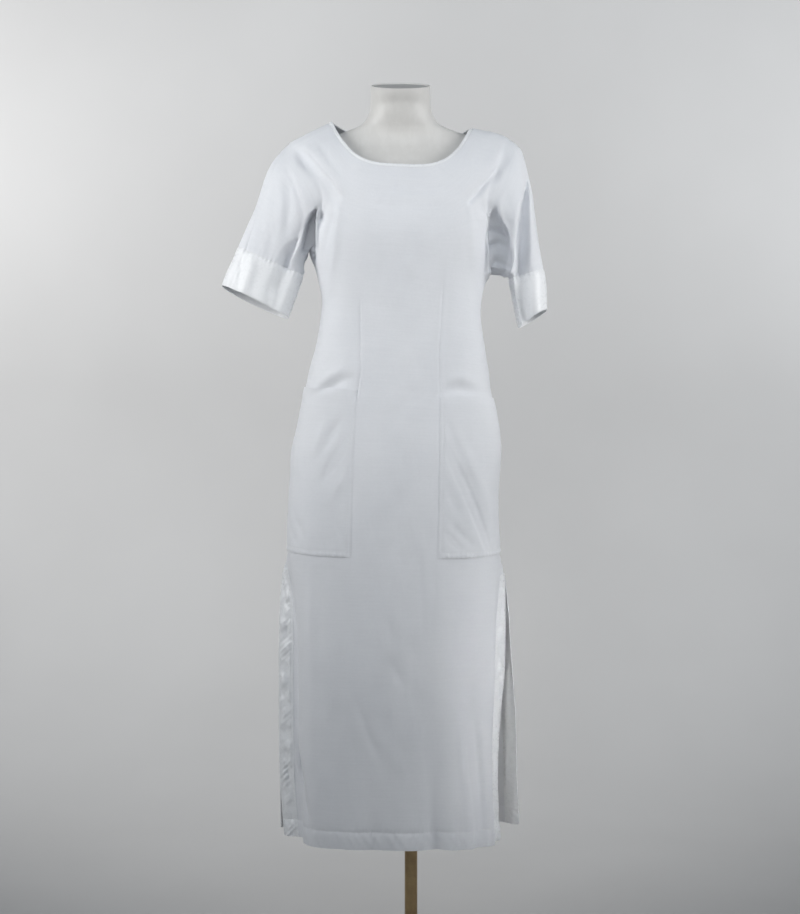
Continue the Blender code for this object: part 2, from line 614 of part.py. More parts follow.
def sleeve_axis(grids, lr):
    """Direction down a sleeve at its cuff seam."""
    g = [grids[tag + "_sleeve_" + lr] for tag in ("front", "back")]
    return unit(sum(a[-1].mean(axis=0) - a[N_SLEEVE].mean(axis=0) for a in g))


def wall(g, n, out, thick):
    """Outer and inner grids of a wall: its outer face is `out` off the skin points."""
    return g + n * out, g + n * (out - thick)


def main():
    for ob in list(bpy.data.objects):
        bpy.data.objects.remove(ob)
    coll = bpy.data.collections.new("t-shirt dress on a dress form")
    bpy.context.scene.collection.children.link(coll)

    jersey = material("cotton_jersey", (0.80, 0.82, 0.84), 0.62, sheen=0.2)
    satin = material("cotton_satin", (0.84, 0.86, 0.88), 0.38, sheen=0.1)
    plastic = material("form_gloss_white", (0.84, 0.84, 0.83), 0.22)
    cap_mat = material("form_cap_grey", (0.42, 0.42, 0.41), 0.45)
    brass = material("pole_brass", (0.45, 0.33, 0.17), 0.34, 1.0)
    base_mat = material("base_brass", (0.42, 0.31, 0.17), 0.38, 1.0)

    skin, nrm, named = build_skin(1)
    G, N = skin.grids, nrm
    s0, u = named["slit top"], named["underarm"]
    foot, mouth, hem = named["pocket foot"], named["pocket mouth"], named["hem stitch"]
    rows = slice(s0, None)

    # ---- front and back: body and both half sleeves in one wall
    for tag, back in (("front", False), ("back", True)):
        shell = Shell(tag, jersey)
        keep = np.ones((G[tag].shape[0] - 1, COLS), bool)
        keep[:s0, :C_BAND] = keep[:s0, COLS - C_BAND:] = False
        og, ig = wall(G[tag], N[tag], 0.0, WALL)

        other = "back" if tag == "front" else "front"

        def trim(g):
            base, g = g, g.copy()
            for col, nxt in ((0, 1), (-1, -2)):
                d = seam_dir(G[tag], G[other], col, nxt)
                g[s0:u + 1, col] += d[s0:u + 1] * GAP / 2
            # shoulder seams
            for sl in (slice(0, C_NECK + 1), slice(COLS - C_NECK, None)):
                g[-1, sl] += unit(base[-2, sl] - base[-1, sl]) * GAP / 2
            # beside the bands
            g[:s0 + 1, C_BAND] += unit(base[:s0 + 1, C_BAND + 1] - base[:s0 + 1, C_BAND]) * GAP / 2
            g[:s0 + 1, COLS - C_BAND] += unit(base[:s0 + 1, COLS - C_BAND - 1]
                                             - base[:s0 + 1, COLS - C_BAND]) * GAP / 2
            for c0, c1 in ((0, C_BAND + 1), (COLS - C_BAND, COLS + 1)):
                g[s0, c0:c1] += unit(base[s0 + 1, c0:c1] - base[s0, c0:c1]) * GAP / 2
            return g
        og, ig = trim(og), trim(ig)
        shell.patch(og, ig, back, keep)
        for side, lr in ((-1, "left"), (1, "right")):
            nm = tag + "_sleeve_" + lr
            k = N_SLEEVE + 1
            so, si = wall(G[nm][:k], N[nm][:k], 0.0, WALL)
            col = 0 if side < 0 else -1

            om = other + "_sleeve_" + lr

            axis = sleeve_axis(G, lr)

            def trim_sleeve(g, bodycol):
                g = g.copy()
                g[-1] -= axis * GAP / 2
                for c2, nxt in ((0, 1), (-1, -2)):
                    g[:, c2] += seam_dir(G[nm], G[om], c2, nxt)[:k] * GAP / 2
                g[0] = bodycol
                return g
            so = trim_sleeve(so, og[u:, col])
            si = trim_sleeve(si, ig[u:, col])
            shell.patch(so, si, (side > 0) != back)
        shell.finish(coll)

    # ---- cuffs: closed tubes below the sleeve seams
    for side, lr in ((-1, "left"), (1, "right")):
        f, b = "front_sleeve_" + lr, "back_sleeve_" + lr
        sl = slice(N_SLEEVE, None)
        g = np.concatenate([G[f][sl], G[b][sl][:, -2::-1]], axis=1)
        n = np.concatenate([N[f][sl], N[b][sl][:, -2::-1]], axis=1)
        o, i = wall(g, n, 0.35, CUFF_WALL)
        o[0] += sleeve_axis(G, lr) * GAP
        i[0] += sleeve_axis(G, lr) * GAP
        sh = Shell("cuff_" + lr, satin)
        sh.patch(o, i, side > 0)
        sh.finish(coll)

    # ---- bands along the slits
    for tag, back in (("front", False), ("back", True)):
        for side, lr in ((-1, "left"), (1, "right")):
            cs = slice(0, C_BAND + 1) if side < 0 else slice(COLS - C_BAND, None)
            o, i = wall(G[tag][:s0 + 1, cs], N[tag][:s0 + 1, cs], 0.0, WALL)
            every = slice(0, s0 + 1)
            kw = {"right": every} if side < 0 else {"left": every}
            o, i = draw_in(o, hi=True, **kw), draw_in(i, hi=True, **kw)
            sh = Shell("slit_band_%s_%s" % (tag, lr), satin)
            sh.patch(o, i, back)
            sh.finish(coll)

    # ---- turned-up hems, inside the panels
    for tag, back in (("front", False), ("back", True)):
        cs = slice(C_BAND, COLS - C_BAND + 1)
        g, n = G[tag][:hem + 1, cs], N[tag][:hem + 1, cs]
        o, i = wall(g, n, -WALL - GAP, PATCH_WALL)
        every = slice(0, hem + 1)
        o, i = (draw_in(a, left=every, right=every, d=1.0) for a in (o, i))
        sh = Shell("hem_turn_" + tag, jersey)
        sh.patch(o, i, back, at=C_BAND)
        sh.finish(coll)

    # ---- pocket patches on the front, open a little at the mouth
    for side, lr in ((-1, "left"), (1, "right")):
        cs = slice(0, C_DART + 1) if side < 0 else slice(COLS - C_DART, None)
        g, n = G["front"][foot:mouth + 1, cs], N["front"][foot:mouth + 1, cs]
        v = np.linspace(0, 1, g.shape[0])[:, None]
        w = np.linspace(0, 1, g.shape[1])[None, :]
        gape = 5.5 * step(v, 0.62, 1.0) * np.sin(np.pi * w) ** 1.2
        o = g + n * (GAP + PATCH_WALL + gape)[..., None]
        i = g + n * (GAP + gape)[..., None]
        every = slice(0, g.shape[0])
        o, i = (draw_in(a, lo=True, hi=True, left=every, right=every, d=0.4) for a in (o, i))
        sh = Shell("pocket_" + lr, jersey)
        sh.patch(o, i, False, at=foot + (0 if side < 0 else COLS - C_DART))
        sh.finish(coll)

    # ---- neck binding, a closed ring on the panels' neck edges
    cn = C_NECK
    path = np.concatenate([G["front"][-1, cn:COLS - cn + 1], G["back"][-1, cn + 1:COLS - cn][::-1]])
    nn = np.concatenate([N["front"][-1, cn:COLS - cn + 1], N["back"][-1, cn + 1:COLS - cn][::-1]])
    tan = np.roll(path, -1, axis=0) - np.roll(path, 1, axis=0)
    tan /= np.sqrt((tan ** 2).sum(axis=1))[:, None]
    away = np.cross(nn, tan)
    away /= np.sqrt((away ** 2).sum(axis=1))[:, None]
    shift = 0.5 * (BIND_T - WALL)
    m = len(path)
    bm = bmesh.new()
    rings = []
    lap = 1.5 * GAP
    for a, h in ((lap, shift), (lap + BIND_W, shift), (lap + BIND_W, shift - BIND_T),
                 (lap, shift - BIND_T)):
        p = path + away * a + nn * h
        rings.append([bm.verts.new(tuple(c * MM for c in q)) for q in p])
    for r in range(4):
        ra, rb = rings[r], rings[(r + 1) % 4]
        for k in range(m):
            k2 = (k + 1) % m
            bm.faces.new((ra[k], rb[k], rb[k2]))
            bm.faces.new((ra[k], rb[k2], ra[k2]))
    bmesh.ops.recalc_face_normals(bm, faces=bm.faces)
    me = bpy.data.meshes.new("neck_binding")
    bm.to_mesh(me)
    bm.free()
    me.materials.append(satin)
    coll.objects.link(bpy.data.objects.new("neck_binding", me))

    # ---- the dress form: rings from the foot of the torso to the neck
    form = table("z cx a cy bf bb n",
                 (742, -22, 146, 8, 84, 88, 2.3), (750, -22, 152, 8, 90, 94, 2.35),
                 (800, -22, 159, 8, 96, 103, 2.4), (850, -22, 163, 7, 101, 108, 2.4),
                 (900, -21, 161, 5, 102, 103, 2.4), (950, -20, 151, 3, 99, 95, 2.35),
                 (1010, -18, 134, 1, 93, 83, 2.3), (1070, -17, 120, 0, 88, 76, 2.3),
                 (1120, -17, 118, 0, 90, 78, 2.3), (1170, -17, 122, 0, 98, 85, 2.4),
                 (1230, -17, 127, 0, 110, 92, 2.4), (1268, -17, 128, 1, 112, 94, 2.4),
                 (1310, -17, 134, 2, 101, 92, 2.5), (1350, -17, 154, 4, 85, 85, 2.5),
                 (1378, -17, 175, 5, 71, 77, 2.35), (1396, -17, 184, 6, 60, 66, 2.2),
                 (1410, -17, 177, 6, 50, 53, 2.1), (1422, -17, 150, 6, 45, 46, 2.1),
                 (1431, -17, 118, 5, 43, 44, 2.1), (1439, -17, 92, 3, 43, 45, 2.1),
                 (1449, -17.3, 68, 0, 45, 48, 2.1), (1462, -17.6, 56, -4, 47, 49, 2.05),
                 (1480, -17.8, 51, -9, 48, 49, 2.0), (1513, -17.8, 50, -20, 49, 49, 2.0))
    rise = math.tan(math.radians(17.5))     # the neck's top face leans forwards
    seg = 40
    zs = [742, 745, 750, 765, 800, 850, 900, 950, 980, 1010, 1040, 1070, 1120, 1170, 1200, 1230,
          1250, 1268, 1290, 1310, 1330, 1350, 1365, 1378, 1388, 1396, 1404, 1410, 1416, 1422,
          1427, 1431, 1435, 1439, 1444, 1449, 1455, 1462, 1480, 1500, 1513]
    bm = bmesh.new()
    loops = []

    def form_ring(z, shrink=0.0, drop=0.0):
        f = {c: float(look(form, c, z)) for c in form if c != "z"}
        out = []
        lean = step(z, 1470, 1513)
        for k in range(seg):
            th = 2 * math.pi * k / seg
            c, s = math.cos(th), math.sin(th)
            e = 2 / f["n"]
            x = f["cx"] + (f["a"] - shrink) * math.copysign(abs(c) ** e, c)
            b = (f["bf"] if s < 0 else f["bb"]) - shrink
            y = f["cy"] + b * math.copysign(abs(s) ** e, s)
            out.append((x, y, z - drop + float(lean) * rise * (y - f["cy"])))
        return out
    for z in zs:
        loops.append([bm.verts.new(tuple(c * MM for c in p)) for p in form_ring(z)])
    for pts in (form_ring(1513, 3.0), form_ring(1513, 3.6, 5.0)):
        loops.append([bm.verts.new(tuple(c * MM for c in p)) for p in pts])
    for a, b in zip(loops[:-1], loops[1:]):
        for k in range(seg):
            k2 = (k + 1) % seg
            bm.faces.new((a[k], a[k2], b[k2], b[k]))
    bm.faces.new(loops[0][::-1])
    bm.faces.new(loops[-1])
    me = bpy.data.meshes.new("form_torso")
    bm.to_mesh(me)
    bm.free()
    me.shade_smooth()
    me.set_sharp_from_angle(angle=math.radians(40))
    me.materials.append(plastic)
    coll.objects.link(bpy.data.objects.new("form_torso", me))

    # ---- grey cap, let into the neck's top
    bm = bmesh.new()
    lows = [bm.verts.new(tuple(c * MM for c in p)) for p in form_ring(1513, 4.2, 4.7)]
    tops = [bm.verts.new(tuple(c * MM for c in p)) for p in form_ring(1513, 4.2, 1.5)]
    for k in range(seg):
        k2 = (k + 1) % seg
        bm.faces.new((lows[k], lows[k2], tops[k2], tops[k]))
    bm.faces.new(lows[::-1])
    bm.faces.new(tops)
    me = bpy.data.meshes.new("form_neck_cap")
    bm.to_mesh(me)
    bm.free()
    me.materials.append(cap_mat)
    coll.objects.link(bpy.data.objects.new("form_neck_cap", me))

    # ---- stand: pole, collars and base, all turned round the pole's axis
    def turned(name, profile, mat, steps=40):
        me = bpy.data.meshes.new(name)
        me.from_pydata([(r * MM, 0, z * MM) for r, z in profile],
                       [(k, k + 1) for k in range(len(profile) - 1)], [])
        ob = bpy.data.objects.new(name, me)
        coll.objects.link(ob)
        sc = ob.modifiers.new("turn", "SCREW")
        sc.axis = "Z"
        sc.steps = sc.render_steps = steps
        sc.use_merge_vertices = True
        sc.merge_threshold = 0.00001
        me.materials.append(mat)
        return ob
    turned("pole", [(0, 741.6), (POLE_R - 0.8, 741.6), (POLE_R, 740.8), (POLE_R, BASE_H + 1.1),
                    (POLE_R - 0.8, BASE_H + GAP), (0, BASE_H + GAP)], brass, 32)
    r0 = POLE_R + 0.3
    turned("pole_collar", [(r0, 741.6), (26, 741.6), (28, 739.6), (28, 722), (24, 716), (17, 712),
                           (15.5, 700), (r0, 700), (r0, 741.6)], brass, 32)
    turned("base_collar", [(r0, 40), (14, 40), (16, 38), (16.5, 24), (21, 18), (30, 14.6),
                           (30, BASE_H + GAP), (r0, BASE_H + GAP), (r0, 40)], brass, 32)
    turned("base_plate", [(0, BASE_H), (60, BASE_H), (120, 10.5), (BASE_R - 6, 6.2), (BASE_R - 1.5, 4.6),
                          (BASE_R, 3.0), (BASE_R, 1.0), (BASE_R - 1, 0), (0, 0)], base_mat, 48)


main()
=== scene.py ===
"""
Looks of a white t-shirt dress on a limbless dress form: fine cloth with its creases, puckered
seams and stitches, a smooth form and its stand, procedural materials, light and camera.

Sizes are millimetres in the tables and metres in the meshes.  +Z up, the dress faces -Y.
The skin is worked out by the same functions as the CAD solids, on a finer grid.
"""
import json
import math

import bpy
import numpy as np
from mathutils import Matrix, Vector

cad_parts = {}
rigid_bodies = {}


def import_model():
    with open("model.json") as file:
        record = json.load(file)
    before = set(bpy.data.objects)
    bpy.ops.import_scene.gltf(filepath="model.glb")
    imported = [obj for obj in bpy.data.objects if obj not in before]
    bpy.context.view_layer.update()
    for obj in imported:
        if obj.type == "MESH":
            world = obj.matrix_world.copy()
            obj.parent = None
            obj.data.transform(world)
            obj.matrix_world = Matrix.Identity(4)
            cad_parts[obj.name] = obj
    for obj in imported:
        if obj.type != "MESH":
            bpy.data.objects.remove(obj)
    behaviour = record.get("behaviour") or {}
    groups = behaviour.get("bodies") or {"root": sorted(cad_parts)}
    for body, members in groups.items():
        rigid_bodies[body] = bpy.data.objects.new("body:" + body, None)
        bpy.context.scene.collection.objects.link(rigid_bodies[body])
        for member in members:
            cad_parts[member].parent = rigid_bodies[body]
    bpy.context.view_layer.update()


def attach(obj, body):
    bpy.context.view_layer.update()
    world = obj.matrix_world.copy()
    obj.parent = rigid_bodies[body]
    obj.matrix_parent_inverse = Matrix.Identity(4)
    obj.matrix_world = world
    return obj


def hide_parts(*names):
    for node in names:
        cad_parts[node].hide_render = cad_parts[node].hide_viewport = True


# ------------------------------------------------------------------ driving sizes (mm)
MM = 0.001
WALL = 1.6              # wall of the dress cloth, with its turnings
CUFF_WALL = 2.0         # folded double cuff
PATCH_WALL = 1.3        # pocket patches and turned-up hems
GAP = 0.3               # between neighbouring pieces
HEM_Z = 250.0           # front hem above the floor
HEM_TURN = 28.0         # height of the turned-up hem
BAND_W = 28.0           # width of the bands along the side slits
BIND_W = 5.0            # width of the neck binding
BIND_T = 2.4            # its thickness
POLE_R = 10.8           # radius of the stand's pole
BASE_R = 165.0          # radius of the round base
BASE_H = 13.0           # its height at the middle
FORM_X = -17.0          # the form's middle plane, beside the pole's axis
RIDGE_Y = 6.0           # shoulder ridge, front to back

# shoulder points: x, z of neck point, of sleeve point, and of the underarm point
HP = {-1: (-134.5, 1456.7), 1: (100.5, 1446.4)}
SP = {-1: (-206.3, 8.0, 1421.5), 1: (165.5, 8.0, 1428.3)}
UA = {-1: (-173.4, 0.0, 1234.6), 1: (134.3, 0.0, 1197.0)}

# grid: columns (whole width) and where the named columns are
COLS = 24
C_BAND, C_NECK, C_DART = 1, 4, 7
# rows: z on the left and on the right side, and the rows up to the next line
ROWS = [("hem", HEM_Z, HEM_Z, 1), ("hem stitch", HEM_Z + HEM_TURN, HEM_Z + HEM_TURN, 7),
        ("slit top", 697.0, 687.0, 1),
        ("pocket foot", 724.0, 719.0, 7), ("pocket mouth", 1001.0, 983.0, 6),
        ("underarm", 1234.6, 1197.0, 0)]
N_UP = 10               # rows from the underarm to the shoulder, and round half a sleeve
N_SLEEVE = 6            # rings from the armhole to the cuff seam
N_CUFF = 3              # rings of the cuff
DART_HALF = 1.3         # half width of the groove along a stitched line


def table(cols, *rows):
    a = np.array(rows, float)
    return {c: a[:, k] for k, c in enumerate(cols.split())}


def pchip(xs, ys, x):
    """Smooth curve through table points that never overshoots them."""
    x = np.asarray(x, float)
    h = np.diff(xs)
    d = np.diff(ys) / h
    m = np.zeros(len(xs))
    m[0], m[-1] = d[0], d[-1]
    for k in range(1, len(xs) - 1):
        if d[k - 1] * d[k] > 0:
            w1, w2 = 2 * h[k] + h[k - 1], h[k] + 2 * h[k - 1]
            m[k] = (w1 + w2) / (w1 / d[k - 1] + w2 / d[k])
    x = np.clip(x, xs[0], xs[-1])
    i = np.clip(np.searchsorted(xs, x, side="right") - 1, 0, len(xs) - 2)
    t = (x - xs[i]) / h[i]
    return ((2 * t ** 3 - 3 * t ** 2 + 1) * ys[i] + (t ** 3 - 2 * t ** 2 + t) * h[i] * m[i]
            + (-2 * t ** 3 + 3 * t ** 2) * ys[i + 1] + (t ** 3 - t ** 2) * h[i] * m[i + 1])


def look(tab, col, x):
    return pchip(tab[list(tab)[0]], tab[col], x)


def step(x, a, b):
    t = np.clip((np.asarray(x, float) - a) / (b - a), 0, 1)
    return t * t * (3 - 2 * t)


# side outline of the dress: the seam line down to the slits, then the panels' edges
# (the flare is how far a free edge turns outwards past the round of the panel)
FRONT_EDGE = table("z left right yleft yright flare_l flare_r",
                   (250, -185, 148, -11, -27, 27, 0), (338, -190, 145, -9, -25, 29, 0),
                   (390, -193, 146.5, -8, -22, 28, 0), (460, -197, 149, -6, -18, 25, 3),
                   (530, -200, 151, -4, -12, 23, 8), (628, -203, 151, -2, -5, 19.6, 10),
                   (690, -206, 150, 0, 0, 12, 8), (728, -209.2, 149.6, 0, 0, 0, 0),
                   (762, -208.3, 147.9, 0, 0, 0, 0), (813, -205.8, 147.1, 0, 0, 0, 0),
                   (847, -204.1, 148.8, 0, 0, 0, 0), (890, -202.4, 152.2, 0, 0, 0, 0),
                   (932, -193.9, 148.8, 0, 0, 0, 0), (966, -187, 142.8, 0, 0, 0, 0),
                   (1000, -179.4, 134.3, 0, 0, 0, 0), (1034, -172.6, 130.9, 0, 0, 0, 0),
                   (1068, -163.2, 125.8, 0, 0, 0, 0), (1102, -156.4, 120.7, 0, 0, 0, 0),
                   (1136, -150.5, 115.6, 0, 0, 0, 0), (1155, -147.5, 114.2, 0, 0, 0, 2),
                   (1175, -149.5, 118, 0, 0, 1.5, 5), (1197, -153, 122, 0, 0, 5, 12.3),
                   (1234.6, -157, 126, 0, 0, 16.4, 0), (1262, -158, 128, 0, 0, 0, 0),
                   (1285, -159, 131, 0, 0, 0, 0), (1305, -163, 138, 0, 0, 0, 0),
                   (1340, -182, 152, 0, 0, 0, 0), (1380, -202, 168, 0, 0, 0, 0),
                   (1425, -216, 181, 0, 0, 0, 0), (1460, -222, 187, 0, 0, 0, 0))
BACK_EDGE = dict(FRONT_EDGE)
_low = table("z left right yleft yright flare_l flare_r",
             (250, -204, 150, 30, 50, 21, 35.5), (338, -204, 150, 28, 46, 21, 33.5),
             (390, -204, 150, 26, 43, 20, 32), (460, -204, 150, 23, 38, 19.5, 29),
             (530, -204, 151, 19, 30, 18, 24), (628, -204, 151, 10, 12, 16, 14),
             (690, -206, 150, 0, 0, 12, 8))
for _c in BACK_EDGE:
    BACK_EDGE[_c] = np.concatenate([_low[_c], FRONT_EDGE[_c][7:]])

# depth at the middle of the front and of the back, and how full the section is
FRONT_DEPTH = table("z y n",
                    (250, -142, 3.5), (390, -138, 3.3), (530, -134, 3.1), (690, -130, 2.8),
                    (800, -127, 2.7), (890, -123, 2.6), (966, -117, 2.5), (1034, -112, 2.5),
                    (1102, -109, 2.5), (1153, -110, 2.5), (1200, -115, 2.6), (1255, -119, 2.7),
                    (1300, -113, 2.8), (1340, -101, 2.8), (1370, -90, 2.7), (1400, -78, 2.5),
                    (1430, -66, 2.4), (1460, -56, 2.4))
BACK_DEPTH = table("z y n",
                   (250, 121, 3.2), (390, 119, 3.0), (530, 119, 2.9), (690, 122, 2.8),
                   (850, 125, 2.6), (930, 116, 2.5), (1034, 97, 2.5), (1102, 92, 2.5),
                   (1153, 94, 2.5), (1250, 103, 2.6), (1330, 103, 2.6), (1380, 94, 2.5),
                   (1430, 76, 2.4), (1460, 62, 2.4))

# the line of the waist darts, which is also the pockets' inner edge
DART = table("z left right", (250, -101, 41), (722, -98.3, 43), (985, -90, 46.5),
             (1034, -84, 45.5), (1153, -84.7, 52), (1235, -86, 53), (1385, -88, 54))

# main soft folds of the skirt: x at the hem and at its upper end, height, depth (+ inwards)
SKIRT_FOLDS = table("x0 x1 z0 z1 depth width",
                    (40, 30, 200, 520, 13, 17), (70, 66, 200, 480, -7, 13),
                    (112, 98, 215, 460, 13, 13), (-62, -70, 200, 420, 5, 20),
                    (-120, -112, 200, 560, 5, 18), (-12, -20, 200, 600, -4, 22))
BACK_FOLDS = table("x0 x1 z0 z1 depth width",
                   (-130, -110, 200, 560, 10, 18), (-84, -80, 200, 480, -6, 16),
                   (-40, -36, 200, 620, 9, 18), (20, 10, 200, 520, -6, 18),
                   (62, 50, 200, 600, 10, 18), (118, 100, 200, 480, 8, 14))
# drag folds of the upper front and back, from a to b: trough depth, width
DRAG_FOLDS = table("xa za xb zb depth width",
                   (-192, 1402, -124, 1302, 5.0, 8), (-176, 1404, -112, 1318, -2.5, 7),
                   (163, 1392, 92, 1302, 1.8, 8), (150, 1404, 82, 1322, -1.2, 7))

# the armhole line on the body, from the underarm point to the shoulder
ARMHOLE = table("z left right", (1197, -173.4, 134.3), (1222, -173.4, 130.5),
                (1234.6, -173.4, 129.4), (1250, -168.2, 128.6), (1264, -163.2, 128.2),
                (1276, -159.5, 128.2), (1287, -154.5, 127.5), (1298, -149.5, 127),
                (1312, -147.5, 127.5), (1335, -153, 132), (1365, -169, 142), (1395, -188, 153),
                (1421.5, -206.3, 162.5), (1428.3, -206.3, 165.5))

# sleeves: rings by their middle, by the arm to the underarm end, and by the bulges to front
# and back; t is 0 at the armhole, 1 at the cuff seam, 2 at the cuff's lower edge; seam is
# where the overarm seam lies round the ring (degrees from the underarm seam), and the web
# is the part beside the underarm seam that stays back between the sleeve and the body
SLEEVE = {
    -1: table("t cx cy cz mx my mz fx fy fz bx by bz seam web",
              (0, -189.9, 4, 1328, 16.5, -4, -93.4, 42, -88, -6, 38, 76, -4, 180, 62),
              (0.22, -205.3, -4, 1300, 29.5, 0, -78, 28, -72, 2, 22, 60, 1, 172, 36),
              (0.5, -221, -12, 1266, 37.5, 0, -55, 17, -52, 9, 14, 46, 6, 161, 8),
              (1, -235.8, -35, 1215.3, 54.3, 0, -23.5, -2, -28, -2, 2, 28, -3, 136, -30),
              (2, -262.3, -36, 1146.4, 55.6, 0, -26.9, 0, -30, 3, 0, 30, -5, 136, -30)),
    1: table("t cx cy cz mx my mz fx fy fz bx by bz seam web",
             (0, 149.9, 4, 1312.7, -15.6, -4, -115.7, -20, -88, 0, -22, 76, -4, 180, 72),
             (0.15, 161.7, 1, 1302.5, -24.2, 0, -107, -14, -78, 0, -18, 66, 0, 180, 68),
             (0.3, 170.1, -2, 1283.5, -27.2, 0, -88.9, -8, -67, 0, -14, 57, 2, 180, 63),
             (0.5, 178.8, -6, 1257.7, -28.3, 0, -64.7, -3, -54, 0, -10, 46, 4, 179, 52),
             (0.75, 186.6, -10, 1221.6, -28.5, 0, -32.1, 0, -44, 0, -4, 40, 2, 178, 20),
             (1, 194.3, -14, 1195, -29.4, 0, -8, 0, -36, -2, 2, 36, 0, 177, -30),
             (2, 206, -14, 1118.8, -24, 0, -14.8, 0, -36, 4, 2, 36, 0, 177, -30)),
}
# the deep fold down the right sleeve: where it lies round the ring, its depth and its width,
# and the ridge before it (degrees, mm)
SLEEVE_FOLD = table("t deg depth width ridge_deg ridge",
                    (0, 170, 0, 26, 140, 0), (0.25, 156, 3, 26, 122, 1),
                    (0.4, 124, 8, 26, 92, 3), (0.5, 106, 11, 26, 74, 4),
                    (0.75, 82, 13, 26, 46, 6), (1, 68, 13, 26, 32, 8), (2, 58, 12, 26, 26, 7))
WEB = 5.2               # least depth between the skin and the underarm seam's plane, each side


def ridge_z(x):
    """Height of the shoulder ridge, carried on straight across the neck."""
    x = np.asarray(x, float)
    xl, zl = HP[-1]
    xr, zr = HP[1]
    left = zl - (xl - x) * (zl - SP[-1][2]) / (xl - SP[-1][0])
    right = pchip(np.array([xr, 160.4, SP[1][0], 200.0]),
                  np.array([zr, 1431.7, SP[1][2], 1398.0]), x)
    mid = zl + (zr - zl) * (x - xl) / (xr - xl)
    return np.where(x < xl, left, np.where(x > xr, right, mid))


def neck_z(x, back, margin):
    """Height of the neckline; margin moves it outwards, off the opening."""
    x = np.asarray(x, float)
    xm = 0.5 * (HP[-1][0] + HP[1][0])
    half = 0.5 * (HP[1][0] - HP[-1][0]) + margin
    X = np.clip(np.abs(x - xm) / half, 0, 1)
    drop, n = (24.0, 2.0) if back else (82.0, 3.6)
    return ridge_z(x) - (drop + margin) * (1 - X ** n) + (0 if back else 0.02 * margin)


def top_z(x, back):
    x = np.asarray(x, float)
    m = BIND_W + GAP
    inside = (x > HP[-1][0] - m) & (x < HP[1][0] + m)
    return np.where(inside, neck_z(x, back, m), ridge_z(x))


def low_z(x):
    """The line across the body from one underarm point to the other."""
    t = np.clip((x - UA[-1][0]) / (UA[1][0] - UA[-1][0]), 0, 1)
    return UA[-1][2] + (UA[1][2] - UA[-1][2]) * t


def surface_y(x, z, back):
    """Depth of the front or the back at x, z, folds left out."""
    edge, depth = (BACK_EDGE, BACK_DEPTH) if back else (FRONT_EDGE, FRONT_DEPTH)
    xl, xr = look(edge, "left", z), look(edge, "right", z)
    yl, yr = look(edge, "yleft", z), look(edge, "yright", z)
    y0, n = look(depth, "y", z), look(depth, "n", z)
    xc, a = 0.5 * (xl + xr), 0.5 * (xr - xl)
    X = np.clip((x - xc) / a, -1, 1)
    ys = yl + (yr - yl) * step(X, -1, 1)
    y = ys + (y0 - ys) * (1 - np.abs(X) ** n) ** (1 / n)
    reach = 66.0 if back else 95.0
    h = np.clip((ridge_z(x) + 8 * (1 - np.clip(np.abs(x - FORM_X) / 117, 0, 1) ** 2) - z) / reach,
                0, 1)
    return RIDGE_Y + (y - RIDGE_Y) * np.sqrt(1 - (1 - h) ** 2)


def fold_push(x, z, back):
    """Inward push of the main folds at x, z."""
    out = np.zeros(np.shape(x))
    F = BACK_FOLDS if back else SKIRT_FOLDS
    for k in range(len(F["x0"])):
        t = np.clip((z - F["z0"][k]) / (F["z1"][k] - F["z0"][k]), 0, 1)
        xa = F["x0"][k] + (F["x1"][k] - F["x0"][k]) * t
        w = F["width"][k] * (0.7 + 0.3 * t)
        out += F["depth"][k] * (1 - t) ** 1.3 * np.exp(-((x - xa) / w) ** 2)
    F = DRAG_FOLDS
    for k in range(len(F["xa"])):
        dx, dz = F["xb"][k] - F["xa"][k], F["zb"][k] - F["za"][k]
        L = math.hypot(dx, dz)
        s = ((x - F["xa"][k]) * dx + (z - F["za"][k]) * dz) / L
        d = ((x - F["xa"][k]) * dz - (z - F["za"][k]) * dx) / L
        ends = step(s, -12, 14) * (1 - step(s, L - 16, L + 12))
        out += F["depth"][k] * (0.8 if back else 1.0) * ends * np.exp(-(d / F["width"][k]) ** 2)
    return out


def ring(side, t, deg, back):
    """Points round a sleeve: deg 0 at the underarm, 180 at the outer end."""
    S = SLEEVE[side]
    th = np.radians(deg)
    g = {c: look(S, c, t) for c in S if c != "t"}
    b = "b" if back else "f"
    c, s = np.cos(th), np.abs(np.sin(th)) ** 0.86
    up = step(deg, g["web"] - 24, g["web"] + 12)
    p = [g["c" + k] + g["m" + k] * c + g[b + k] * s * (up if k == "y" else 1) for k in "xyz"]
    if side == 1 and not back:
        F = {c2: look(SLEEVE_FOLD, c2, t) for c2 in SLEEVE_FOLD if c2 != "t"}
        p[1] = p[1] + F["depth"] * np.exp(-((deg - F["deg"]) / F["width"]) ** 2)
        p[1] = p[1] - F["ridge"] * np.exp(-((deg - F["ridge_deg"]) / F["width"]) ** 2)
    return np.stack(p, axis=-1)


def half_ring(side, t, deg, back):
    """The ring by its own angle; the back half goes on past the outer end to the seam."""
    if not back:
        return ring(side, t, deg, False)
    behind = deg <= 180.0
    p = ring(side, t, np.where(behind, deg, 180.0), True)
    q = ring(side, t, np.where(behind, 180.0, 360.0 - deg), False)
    return np.where(behind[:, None], p, q)


def ring_angles(side, t, back, n):
    """n + 1 angles from the underarm seam to the overarm seam, about evenly spaced."""
    seam = float(look(SLEEVE[side], "seam", t))
    end = 360.0 - seam if back else seam
    deg = np.linspace(0, end, 361)
    p = half_ring(side, t, deg, back)
    s = np.concatenate([[0], np.cumsum(np.sqrt((np.diff(p, axis=0) ** 2).sum(axis=1)))])
    mix = 0.8 * s / s[-1] + 0.2 * deg / end
    return np.interp(np.arange(n + 1) / n, mix, deg)


